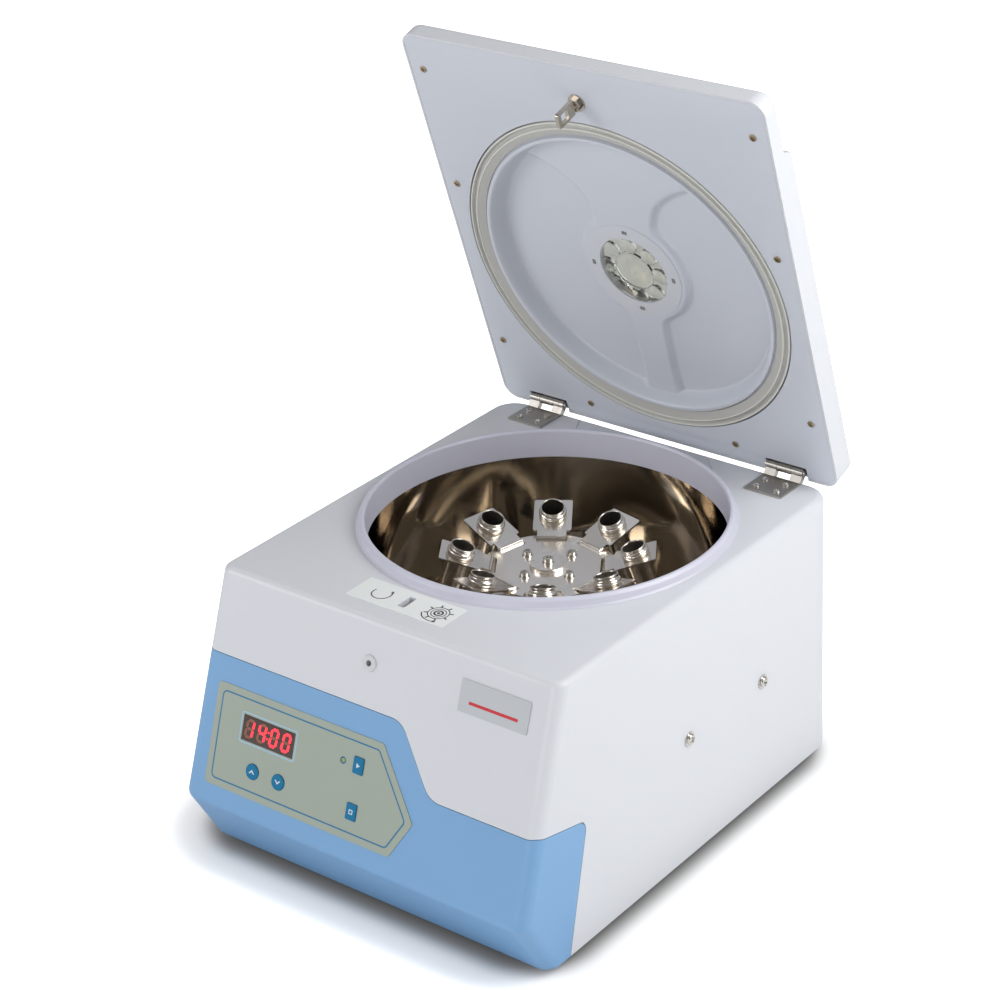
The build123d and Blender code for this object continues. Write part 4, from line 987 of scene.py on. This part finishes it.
class CENTRIFUGE_OT_lid_liner(bpy.types.Operator):
    """Moulds the lid's inner dish with its raised Y, and the flat face round it"""
    bl_idname = "centrifuge.lid_liner"
    bl_label = "Lid liner"

    def execute(self, context):
        settings = context.scene.centrifuge_lid
        floor = LID_FACE + settings.dish_depth / MM
        rib, soft = settings.rib_height / MM, settings.rib_softness / MM
        radii = list(np.linspace(PORT_R, 46.0, 12)) + list(np.arange(46.9, 134.2, 0.92))
        count = 320
        angle = np.arange(count) * 2 * np.pi / count
        r, a = np.meshgrid(np.array(radii), angle, indexing="ij")
        x, y = r * np.cos(a), r * np.sin(a)
        side = smooth_through([(26, -32), (27, -46), (35, -68), (55, -86), (83, -97), (112, -103)])
        head = side + [(118, -140), (-118, -140)] + [(-px, py) for px, py in reversed(side)]
        leg = [(-19, 0), (-15, 100), (-17, 122), (-24, 140), (24, 140), (17, 122), (15, 100), (19, 0)]
        mark = soft_union(signed_distance(x, y, leg), signed_distance(x, y, head), 4.0)
        mark = soft_union(mark, r - (BOSS_R + 3.0), 9.0)
        raised = rib * (1 - soft_step(-soft / 2, soft / 2, mark))
        wall = floor - (floor - 1.9) * soft_step(123.2, 131.0, r)
        height = np.minimum(floor - raised, wall)
        height = np.where(r < BOSS_R, floor - rib, height)
        points = np.stack([x, y + LID_MID, height], axis=-1).reshape(-1, 3).tolist()
        back = [(DISH_R, 5.0), (149.9, 5.0), (149.9, 7.0), (134.5, 7.0), (129.5, 19.0), (PORT_R, 19.0)]
        for radius, z in back:
            points += [(radius * math.cos(t), radius * math.sin(t) + LID_MID, z) for t in angle]
        rings = len(radii) + len(back)
        faces = []
        for k in range(rings):
            n = (k + 1) % rings
            for i in range(count):
                j = (i + 1) % count
                faces.append((k * count + i, n * count + i, n * count + j, k * count + j))
        dish = mesh_from("lid_dish", points, faces, LID)
        keep("lid_dish", dish, "liner", "lid", 42, ("lid_liner",))

        top, low, half = 6.0, -362.8, 163.3
        notch = [(137.0, top), (137.0, -4.7), (99.0, -4.7), (99.0, top)]
        outline = [(half, low), (half, top), *notch, *[(-px, py) for px, py in reversed(notch)],
                   (-half, top), (-half, low)]
        sizes = [10.8, 10.8, 0.8, 1.2, 1.2, 0.8, 0.8, 1.2, 1.2, 0.8, 10.8, 10.8]
        rim = circle(149.6, (0, LID_MID), 256)
        plate = flat_sheet("lid_face_plate", [rounded(outline, sizes, 8), rim], 2.5, LID, LID_FACE, 0.3)
        keep("lid_face_plate", plate, "liner", "lid", 40)
        return {"FINISHED"}


class CENTRIFUGE_OT_lid_seal(bpy.types.Operator):
    """Lays the ring seal and its inner lip in the lid's groove"""
    bl_idname = "centrifuge.lid_seal"
    bl_label = "Lid seal"

    def execute(self, context):
        settings = context.scene.centrifuge_lid
        centre = LID @ Matrix.Translation((0, LID_MID * MM, 0))
        section = rounded(
            [(134.9, 4.9), (148.4, 4.9), (148.4, 1.5), (146.5, 1.6), (145.6, 3.2), (143.6, 2.9), (142.9, 1.5),
             (141.7, 1.2), (135.3, 3.6)], [0, 0, 0.4, 0.4, 0.5, 0.5, 0.3, 0.4, 0.4])
        band = lathe("seal_band", section, centre, 256)
        rings = []
        for radius, width, height, depth in (
                (settings.lip_radius, settings.lip_width, 2.6 * MM, 1.95 * MM),
                (settings.crest_radius, 1.1 * MM, 2.0 * MM, 1.6 * MM)):
            ring = run_tree("Swept Ring", bpy.data.meshes.new("seed"), "seal", Radius=radius, Width=width,
                            Height=height, Corner=0.45 * MM, Steps=256)
            ring.transform(centre @ Matrix.Translation((0, 0, depth)))
            rings.append(ring)
        keep("seal_band", band, "seal", "lid", 50, ("lid_seal",))
        # the lips take the lighter seal_lip finish, painted highlight on their crests
        keep("seal_lips", join_meshes("seal_lips", rings), "seal_lip", "lid", 50)
        return {"FINISHED"}


class CENTRIFUGE_OT_viewing_port(bpy.types.Operator):
    """Builds the scalloped clear lens, its ring with four clips, and the lid's outer window"""
    bl_idname = "centrifuge.viewing_port"
    bl_label = "Viewing port"

    def execute(self, context):
        dress("port", "viewport_ring")
        dress("window", "outer_window")
        dress("lid_outer", "lid_shell")
        centre = Matrix.Translation((0, LID_MID * MM, 0))
        radii = [0.0, *np.linspace(2, 17.0, 9), *np.linspace(17.4, 30.9, 30)]
        count, lobes = 256, 8
        points = [(0, 0, 12.2)]
        for r in radii[1:]:
            for k in range(count):
                a = 2 * math.pi * k / count
                x, y = r * math.cos(a), r * math.sin(a)
                lobe = round(a * lobes / (2 * math.pi)) * 2 * math.pi / lobes
                away = math.hypot(x - 24.6 * math.cos(lobe), y - 24.6 * math.sin(lobe)) / 7.6
                bubble = math.sqrt(max(0.0, 1 - away * away))
                bead = math.exp(-((r - 17.6) / 0.7) ** 2)
                inner = 12.2 + 0.8 * (min(r, 17.0) / 17.0) ** 2
                z = inner - 0.5 * bead if r < 17.6 else 13.4 - 1.9 * bubble - 0.8 * bead
                points.append((x, y, max(11.2, z)))
        back = ((31.2, 13.4), (31.2, LENS_BACK), (0.5, LENS_BACK))
        for r, z in back:
            points += level_ring(r, z, count)
        points.append((0, 0, LENS_BACK))
        faces = stacked_faces(count, len(radii) - 1 + len(back))
        lens = mesh_from("lens_scalloped", points, faces, LID @ centre)
        keep("lens_scalloped", lens, "lens", "lid", 28, ("viewport_lens",))
        clips = []
        for quarter in range(4):
            a = quarter * math.pi / 2
            at = (38 * math.cos(a), 38 * math.sin(a))
            wide, high = (2.8, 4.6) if quarter % 2 == 0 else (4.6, 2.8)
            clips.append(flat_sheet("clip", [rectangle(wide, high, at, 0.4),
                                             rectangle(wide * 0.42, high * 0.5, at, 0.3)], 0.36,
                                    LID @ centre, 11.52, 0.08))
        keep("port_clips", join_meshes("port_clips", clips), "clip", "lid")
        return {"FINISHED"}


# ---- Fasteners, hinges and striker ----


class CENTRIFUGE_OT_fasteners(bpy.types.Operator):
    """Sets every row of screws: lid, hinges, sides and rotor"""
    bl_idname = "centrifuge.fasteners"
    bl_label = "Fasteners"

    def execute(self, context):
        up = Vector((0, 0, 1))
        face = -(LID.to_3x3() @ up)
        spots = [(s * 151.0, y) for s in (-1, 1) for y in (-332.8, -221.9, -57.5)]
        spots += [(-71.8, -10.6), (71.8, -10.6)]
        places = [LID @ Vector((x * MM, y * MM, 0.8 * MM)) for x, y in spots]
        fastener_rows("lid_screw_heads", places, [face] * len(places),
                      recessed_head("lid_screw", 2.9, 0.95, "cross", 0.8), "lid_screw", "lid",
                      ("lid_screws",), 5)
        leaf_top = TOP_Z + 1.8 * MM
        places = [Vector(((s * 118.0 + dx) * MM, y * MM, leaf_top)) for s in (-1, 1) for dx in (-9.5, 9.5)
                  for y in (133.5, 147.0)]
        fastener_rows("hinge_screw_heads", places, [up] * len(places),
                      recessed_head("hinge_screw", 2.9, 1.5, "cross", 1.0), "screw", "base",
                      ("hinge_screws",), 8)
        low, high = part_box("side_screws")
        places, facings = [], []
        for side, x in ((-1, low.x), (1, high.x)):
            for y in (-46.0, 57.0):
                places.append(Vector((x - side * 2.45 * MM, y * MM, (low.z + high.z) / 2)))
                facings.append(Vector((side, 0, 0)))
        fastener_rows("side_screw_heads", places, facings,
                      recessed_head("side_screw", 4.4, 2.4, "cross", 1.5, (6.0, 0.85), 0.5), "screw", "base",
                      ("side_screws",), 11)
        start = math.atan2(JOINTS["bucket_1_swing"]["pos_m"][1], JOINTS["bucket_1_swing"]["pos_m"][0])
        ring = circle(DISC_SCREWS_R * MM, (0, 0), 4, start - math.pi / 4)
        places = [Vector((x, y, ROTOR_TOP + 0.75 * MM)) for x, y in ring]
        small = fastener_mesh(places, [up] * 4,
                              recessed_head("disc_screw", 3.3, 3.4, "hex", 1.9, (4.4, 0.75), 0.12), "screw", 2)
        bolt = recessed_head("centre_bolt", 3.9, 3.5, "hex", 2.0, (4.6, 0.75), 0.12)
        centre = fastener_mesh([Vector((0, 0, ROTOR_TOP + 3.95 * MM))], [up], bolt, "screw", 2)
        keep("rotor_screw_heads", join_meshes("rotor_screw_heads", [small, centre]), None, "rotor", HEAD_SHARP,
             ("rotor_screws",))
        return {"FINISHED"}


class CENTRIFUGE_OT_hardware(bpy.types.Operator):
    """Finishes the hinges, the striker and the lid lock"""
    bl_idname = "centrifuge.hardware"
    bl_label = "Hinges and lock"

    def execute(self, context):
        dress("hinge", "hinge_leaves_lower", "hinge_leaves_upper")
        dress("screw", "hinge_pins")
        dress("striker", "latch_striker", "striker_nut")
        dress("black", "latch_lock")
        dress("steel", "latch_bolt")
        return {"FINISHED"}


# ---- Rotor, buckets and drive ----


class CENTRIFUGE_OT_rotor(bpy.types.Operator):
    """Finishes the rotor, its eight buckets and the shaft"""
    bl_idname = "centrifuge.rotor"
    bl_label = "Rotor and buckets"

    def execute(self, context):
        dress("steel", "rotor_disc", "rotor_cap", "rotor_hub", "motor_shaft")
        dress("bucket", *[f"bucket_{k}" for k in range(1, 9)])
        dress("cast", "motor_core")
        return {"FINISHED"}


class CENTRIFUGE_OT_drive(bpy.types.Operator):
    """Finishes the drive, its mounts and the electronics under the chamber"""
    bl_idname = "centrifuge.drive"
    bl_label = "Drive and electronics"

    def execute(self, context):
        dress("cast", "motor_housing")
        dress("zinc", "motor_plate", "bowl_supports", "motor_posts")
        dress("screw", "motor_bearings")
        dress("rubber", "vibration_mounts", "shaft_boot")
        dress("board", "control_board", "drive_board")
        return {"FINISHED"}


class CENTRIFUGE_OT_rear(bpy.types.Operator):
    """Finishes the mains inlet, the switch and the fuse holder"""
    bl_idname = "centrifuge.rear"
    bl_label = "Rear fittings"

    def execute(self, context):
        dress("black", "power_inlet", "switch_frame", "fuse_holder")
        dress("rocker", "power_rocker")
        return {"FINISHED"}


# ---- Control panel ----

OVERLAY_TOP = 0.6
OVERLAY = [(-144.6, -87.6), (19, -87.6), (56, -138.7), (38.7, -169.6), (-144.6, -169.6)]
KEYS = {"key_up": (-99.0, -147.6), "key_down": (-73.0, -147.6), "key_start": (-0.5, -111.0),
        "key_stop": (-0.5, -147.2)}
LAMP_AT = (-15.5, -111.3)
INK_T = 0.05                     # thickness of printed ink
DISPLAY_READS = "1400"
SEGMENTS = {"0": "abcdef", "1": "bc", "4": "bcfg"}


def segment_outline(which, width, height, thick):
    """Outline of one bar of a seven-segment digit about the digit's middle, upright."""
    w, h, t = width / 2 - thick / 2, height / 2 - thick / 2, thick / 2
    gap = 0.18
    ends = {"a": ((-w, h), (w, h)), "b": ((w, h), (w, 0)), "c": ((w, 0), (w, -h)), "d": ((-w, -h), (w, -h)),
            "e": ((-w, 0), (-w, -h)), "f": ((-w, h), (-w, 0)), "g": ((-w, 0), (w, 0))}[which]
    a, b = Vector(ends[0]), Vector(ends[1])
    along = (b - a).normalized()
    cross = Vector((-along.y, along.x))
    a, b = a + along * gap, b - along * gap
    return [tuple(p) for p in (a, a + along * t + cross * t, b - along * t + cross * t, b,
                               b - along * t - cross * t, a + along * t - cross * t)]


def leaning(loop, at, slant=0.13):
    return [(x + y * slant + at[0], y + at[1]) for x, y in loop]


def shrink(outline, amount):
    """Outline of a convex polygon moved inwards."""
    made = []
    count = len(outline)
    area = sum(a[0] * b[1] - a[1] * b[0] for a, b in zip(outline, outline[1:] + outline[:1]))
    sign = 1 if area > 0 else -1
    for k in range(count):
        p, q, r = (Vector(outline[(k + s) % count]) for s in (-1, 0, 1))
        n1 = Vector((-(q - p).y, (q - p).x)).normalized() * sign
        n2 = Vector((-(r - q).y, (r - q).x)).normalized() * sign
        made.append(tuple(q + (n1 + n2) * amount / (1 + n1.dot(n2))))
    return made


class CENTRIFUGE_OT_display(bpy.types.Operator):
    """Builds the four-digit display behind its smoked window"""
    bl_idname = "centrifuge.display"
    bl_label = "Display"

    def execute(self, context):
        settings = context.scene.centrifuge_panel
        dress("display", "display_window", "display_module")
        centre = local_box_centre("display_window", FRONT)
        lift = 0.52
        high, pitch = settings.digit_height / MM, settings.digit_pitch / MM
        wide, thick = high * 0.55, high * 0.145
        lit, unlit = [], []
        for k, figure in enumerate(DISPLAY_READS):
            at = (centre.x + (k - 1.5) * pitch - 0.4, centre.y)
            for bar in "abcdefg":
                loop = leaning(segment_outline(bar, wide, high, thick), at)
                target = lit if bar in SEGMENTS[figure] else unlit
                target.append(flat_sheet("bar", [loop], 0.06, FRONT, lift))
        for dy in (-2.6, 2.6):
            dot = leaning(circle(0.85, (0, dy), 16), (centre.x - 0.4, centre.y))
            lit.append(flat_sheet("dot", [dot], 0.06, FRONT, lift))
        keep("digit_bars_lit", join_meshes("digit_bars_lit", lit), "segment_on", "base")
        keep("digit_bars_unlit", join_meshes("digit_bars_unlit", unlit), "segment_off", "base")
        printed_line("display_outline", rectangle(55.2, 23.6, (centre.x, centre.y)), 0.0009, "bezel", FRONT,
                     OVERLAY_TOP, "base", 1.8)
        return {"FINISHED"}


class CENTRIFUGE_OT_keys(bpy.types.Operator):
    """Builds the domed keys with their marks, and the lamp"""
    bl_idname = "centrifuge.keys"
    bl_label = "Keys"

    def execute(self, context):
        dress("lamp", "status_led")
        for name, up in (("key_up", 1), ("key_down", -1)):
            plane = FRONT @ Matrix.Translation((KEYS[name][0] * MM, KEYS[name][1] * MM, 0))
            dome = rounded([(6.2, 0.62), (6.2, 1.3), (5.75, 1.56), (0.0, 1.6), (0.0, -8.6), (2.0, -8.6),
                            (2.0, 0.62)], [0, 0.2, 0.3, 0, 0, 0, 0])
            keep(name + "_cap", lathe(name, dome, plane, 64), "key", name, 35, (name,))
            arms = [(-2.7, -1.2 * up), (0, 1.7 * up), (2.7, -1.2 * up)]
            inner = [(1.75, -1.75 * up), (0, 0.15 * up), (-1.75, -1.75 * up)]
            keep(name + "_mark", flat_sheet(name, [arms + inner], 0.08, plane, 1.56), "mark", name)
        for name in ("key_start", "key_stop"):
            plane = FRONT @ Matrix.Translation((KEYS[name][0] * MM, KEYS[name][1] * MM, 0))
            cap = flat_sheet(name, [rectangle(9.6, 13.0, (0, 0), 1.2)], 0.98, plane, 0.62, 0.35)
            stem = lathe(name, [(0.0, -8.6), (2.0, -8.6), (2.0, 0.7), (0.0, 0.7)], plane, 32)
            keep(name + "_cap", join_meshes(name, [cap, stem]), "key", name, 35, (name,))
            if name == "key_start":
                loops = [[(-1.4, -1.9), (1.9, 0.0), (-1.4, 1.9)]]
            else:
                loops = [rectangle(3.6, 3.6, (0, 0), 0.3), rectangle(2.2, 2.2, (0, 0), 0.2)]
            keep(name + "_mark", flat_sheet(name, loops, 0.06, plane, 1.57), "mark", name)
        return {"FINISHED"}


class CENTRIFUGE_OT_overlay(bpy.types.Operator):
    """Prints the border on the membrane overlay and finishes the bush"""
    bl_idname = "centrifuge.overlay"
    bl_label = "Overlay"

    def execute(self, context):
        settings = context.scene.centrifuge_panel
        dress("overlay", "control_overlay")
        dress("bush", "release_bush")
        ring = flat_sheet("lamp_ring", [circle(2.9, LAMP_AT, 40), circle(2.15, LAMP_AT, 40)], 0.04, FRONT,
                          OVERLAY_TOP + 0.01)
        keep("lamp_ring", ring, "border", "base")
        border = shrink(OVERLAY, settings.border_inset / MM)
        printed_line("overlay_border", border, settings.border_width, "border", FRONT, OVERLAY_TOP, "base",
                     4.0)
        return {"FINISHED"}


class CENTRIFUGE_OT_labels(bpy.types.Operator):
    """Finishes the blank name plate and the top label with its rotor pictogram"""
    bl_idname = "centrifuge.labels"
    bl_label = "Labels"

    def execute(self, context):
        dress("plate", "name_plate")
        dress("label", "top_label")
        at = local_box_centre("name_plate", FRONT)
        stripe = flat_sheet("name_plate_stripe", [rectangle(44.0, 2.4, (at.x, at.y - 4.0), 0.8)], 0.05, FRONT,
                            0.79)
        keep("name_plate_stripe", stripe, "red", "base")
        low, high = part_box("top_label")
        plane = Matrix.Translation((0, 0, high.z))
        x, y = ((low.x + high.x) / 2 / MM + 31.0, (low.y + high.y) / 2 / MM)
        marks = []
        for outer, inner in ((8.7, 7.9), (6.2, 5.5), (4.0, 2.5), (1.3, 0.0)):
            loops = [circle(outer, (x, y), 48)] + ([circle(inner, (x, y), 48)] if inner else [])
            marks.append(flat_sheet("ring", loops, INK_T, plane))
        for k in range(8):
            a = math.radians(22.5 + 45 * k)
            for reach in (9.4, 10.9):
                spot = (x + reach * math.cos(a), y + reach * math.sin(a))
                marks.append(flat_sheet("cup", [circle(0.75, spot, 16)], INK_T, plane))
        keep("label_pictogram", join_meshes("label_pictogram", marks), "ink", "base")
        heads = []
        for name, centre, reach, start, stop in (("label_turn_large", (x - 54, y), 8.0, -200, 40),
                                                 ("label_turn_small", (x, y), 12.8, 205, 290)):
            turn = [(centre[0] + reach * math.cos(math.radians(d)),
                     centre[1] + reach * math.sin(math.radians(d))) for d in range(start, stop, 9)]
            printed_line(name, turn, 0.0009, "ink", plane, 0.03, "base", 0.5, closed=False, thick=INK_T)
            tip, way = Vector(turn[-1]), (Vector(turn[-1]) - Vector(turn[-2])).normalized()
            cross = Vector((-way.y, way.x))
            head = [tuple(tip + way * 3.0), tuple(tip + cross * 1.6), tuple(tip - cross * 1.6)]
            heads.append(flat_sheet("head", [head], INK_T, plane))
        keep("label_arrow_heads", join_meshes("label_arrow_heads", heads), "ink", "base")
        return {"FINISHED"}


# ---- Stage ----

PAINTED_SHADOW_BOX = (("X", 0.012, 0.125), ("Y", 0.034, 0.148))      # axis, shift and half width of the box of painted shadow round the base
PAINTED_SHADOW_ROUND = 0.03
FLOOR_HALF = 12
# painted contact shadow: darkening of the floor by distance from the base: socket, level at the base, then
# (distance, level)
PAINTED_SHADOW_RAMPS = (
    ("Emission Color", 0.0, ((0.022, 0.05), (0.045, 0.34), (0.085, 0.84))),
    ("Base Color", 0.08, ((0.016, 0.20), (0.038, 0.70), (0.07, 0.97))),
)
SOFT_BLUE = (0.98, 0.98, 1.0)


def area_light(name, place, target, size, power, tint=(1, 1, 1)):
    data = bpy.data.lights.new(name, "AREA")
    data.shape = "RECTANGLE"
    data.size, data.size_y = size
    data.energy = power
    data.color = tint
    lamp = bpy.data.objects.new(name, data)
    lamp.location = place
    lamp.rotation_euler = (Vector(target) - Vector(place)).to_track_quat("-Z", "Y").to_euler()
    bpy.context.scene.collection.objects.link(lamp)
    return lamp


class CENTRIFUGE_OT_stage(bpy.types.Operator):
    """Sets the floor with its painted contact shadow, the studio light and the camera"""
    bl_idname = "centrifuge.stage"
    bl_label = "Stage"

    def execute(self, context):
        scene = context.scene
        settings = scene.centrifuge_stage
        floor_mesh = bpy.data.meshes.new("floor")
        corners = [(x * FLOOR_HALF, y * FLOOR_HALF, 0) for x, y in ((-1, -1), (1, -1), (1, 1), (-1, 1))]
        floor_mesh.from_pydata(corners, [], [(0, 1, 2, 3)])
        floor = bpy.data.objects.new("floor", floor_mesh)
        scene.collection.objects.link(floor)
        paper, tree, shader = blank_material("floor_paper")
        skin = place_group(tree, "Moulded Grain", Colour=(*settings.floor, 1), Grain_Size=0.01, Mottle=0.01,
                           Roughness=0.9)
        shader.inputs["Roughness"].default_value = 0.9
        shader.inputs["Specular IOR Level"].default_value = 0.0
        place = tree.nodes.new("ShaderNodeTexCoord")
        split = tree.nodes.new("ShaderNodeSeparateXYZ")
        tree.links.new(place.outputs["Object"], split.inputs[0])
        # painted contact shadow: the floor's colour and the emission the camera sees darken near a box shifted
        # to the front and left of the base
        squares = []
        for axis, shift, half in PAINTED_SHADOW_BOX:
            away = maths(tree, "ABSOLUTE", maths(tree, "ADD", split.outputs[axis], shift))
            over = maths(tree, "MAXIMUM", maths(tree, "SUBTRACT", away, half), 0.0)
            squares.append(maths(tree, "MULTIPLY", over, over))
        reach = maths(tree, "SUBTRACT", maths(tree, "SQRT", maths(tree, "ADD", *squares)), PAINTED_SHADOW_ROUND)
        path = tree.nodes.new("ShaderNodeLightPath")
        for socket, first, steps in PAINTED_SHADOW_RAMPS:
            ramp = tree.nodes.new("ShaderNodeValToRGB")
            ramp.color_ramp.interpolation = "EASE"
            stops = ramp.color_ramp.elements
            stops[0].position, stops[0].color = 0.0, (first, first, first, 1)
            stops[1].position, stops[1].color = 1.0, (0.97, 0.97, 0.97, 1)
            for position, level in steps:
                stops.new(position).color = (level, level, level, 1)
            tree.links.new(reach, ramp.inputs["Fac"])
            shade = node(tree, "ShaderNodeMix", data_type="RGBA", blend_type="MULTIPLY")
            shade.inputs["Factor"].default_value = 1.0
            tree.links.new(ramp.outputs["Color"], shade.inputs["A"])
            factor = skin.outputs["Colour"] if socket == "Base Color" else path.outputs["Is Camera Ray"]
            tree.links.new(factor, shade.inputs["B"])
            tree.links.new(shade.outputs["Result"], shader.inputs[socket])
        shader.inputs["Emission Strength"].default_value = 1.0
        floor_mesh.materials.append(paper)

        world = bpy.data.worlds.new("studio")
        world.use_nodes = True
        scene.world = world
        tree = world.node_tree
        link = tree.links.new
        back = tree.nodes["Background"]
        path = tree.nodes.new("ShaderNodeLightPath")
        look = tree.nodes.new("ShaderNodeTexCoord")
        split = tree.nodes.new("ShaderNodeSeparateXYZ")
        link(look.outputs["Generated"], split.inputs[0])
        ramp = tree.nodes.new("ShaderNodeValToRGB")
        stops = ramp.color_ramp.elements
        stops[0].position, stops[0].color = 0.0, (0.9, 0.9, 0.9, 1)
        stops[1].position, stops[1].color = 0.95, (0.34, 0.30, 0.25, 1)
        middle = stops.new(0.35)
        middle.color = (0.55, 0.53, 0.50, 1)
        link(split.outputs["Z"], ramp.inputs["Fac"])
        mix = tree.nodes.new("ShaderNodeMix")
        mix.data_type = "RGBA"
        mix.inputs["A"].default_value = (0.97, 0.98, 1.0, 1)
        link(path.outputs["Is Glossy Ray"], mix.inputs["Factor"])
        link(ramp.outputs["Color"], mix.inputs["B"])
        link(mix.outputs["Result"], back.inputs["Color"])
        back.inputs["Strength"].default_value = settings.ambient

        area_light("key_right", (0.95, 0.25, 1.0), (0, 0, 0.18), (0.8, 0.8), settings.key_power)
        area_light("top_back", (0.3, 0.9, 2.1), (0, 0, 0.2), (1.6, 1.2), settings.top_power)
        area_light("fill_left", (-1.5, -1.9, 1.1), (0, 0, 0.2), (1.2, 1.2), 20.0, SOFT_BLUE)
        area_light("fill_front", (0.4, -2.2, 0.62), (0, 0.1, 0.35), (1.0, 0.6), 9.0, SOFT_BLUE)

        data = bpy.data.cameras.new("camera")
        data.lens, data.sensor_width = settings.lens, 36.0
        data.clip_start, data.clip_end = 0.05, 60.0
        camera = bpy.data.objects.new("camera", data)
        azimuth, height, roll = settings.camera_azimuth, settings.camera_height, settings.camera_roll
        turn = (Matrix.Rotation(azimuth, 4, "Z") @ Matrix.Rotation(math.pi / 2 - height, 4, "X")
                @ Matrix.Rotation(roll, 4, "Z"))
        camera.matrix_world = Matrix.Translation(settings.camera_place) @ turn
        scene.collection.objects.link(camera)
        scene.camera = camera
        scene.view_settings.view_transform = "Standard"
        return {"FINISHED"}


# ---- Sidebar and registration ----

OPERATORS = [
    CENTRIFUGE_OT_housing, CENTRIFUGE_OT_chamber, CENTRIFUGE_OT_lid_liner, CENTRIFUGE_OT_lid_seal,
    CENTRIFUGE_OT_viewing_port, CENTRIFUGE_OT_fasteners, CENTRIFUGE_OT_hardware, CENTRIFUGE_OT_rotor,
    CENTRIFUGE_OT_drive, CENTRIFUGE_OT_rear, CENTRIFUGE_OT_display, CENTRIFUGE_OT_keys,
    CENTRIFUGE_OT_overlay, CENTRIFUGE_OT_labels, CENTRIFUGE_OT_stage,
]
SETTINGS = {"centrifuge_housing": HousingFinish, "centrifuge_panel": PanelPrint, "centrifuge_lid": LidShape,
            "centrifuge_metal": MetalFinish, "centrifuge_stage": StageSetup}


class CENTRIFUGE_PT_pieces(bpy.types.Panel):
    """Lists the centrifuge's settings and the pieces that can be built"""
    bl_idname = "CENTRIFUGE_PT_pieces"
    bl_label = "Centrifuge"
    bl_space_type = "VIEW_3D"
    bl_region_type = "UI"
    bl_category = "Centrifuge"

    def draw(self, context):
        for name, kind in SETTINGS.items():
            box = self.layout.box()
            settings = getattr(context.scene, name)
            for field in kind.__annotations__:
                box.prop(settings, field)
        for operator in OPERATORS:
            self.layout.operator(operator.bl_idname)


def register():
    for name, kind in SETTINGS.items():
        bpy.utils.register_class(kind)
        setattr(bpy.types.Scene, name, bpy.props.PointerProperty(type=kind))
    for kind in [*OPERATORS, CENTRIFUGE_PT_pieces]:
        bpy.utils.register_class(kind)


def unregister():
    for kind in reversed([*OPERATORS, CENTRIFUGE_PT_pieces]):
        bpy.utils.unregister_class(kind)
    for name, kind in SETTINGS.items():
        delattr(bpy.types.Scene, name)
        bpy.utils.unregister_class(kind)


def main():
    """Builds every piece in order."""
    register()
    steps = bpy.ops.centrifuge
    steps.housing()
    steps.chamber()
    steps.lid_liner()
    steps.lid_seal()
    steps.viewing_port()
    steps.fasteners()
    steps.hardware()
    steps.rotor()
    steps.drive()
    steps.rear()
    steps.display()
    steps.keys()
    steps.overlay()
    steps.labels()
    steps.stage()


if __name__ == "__main__":
    main()
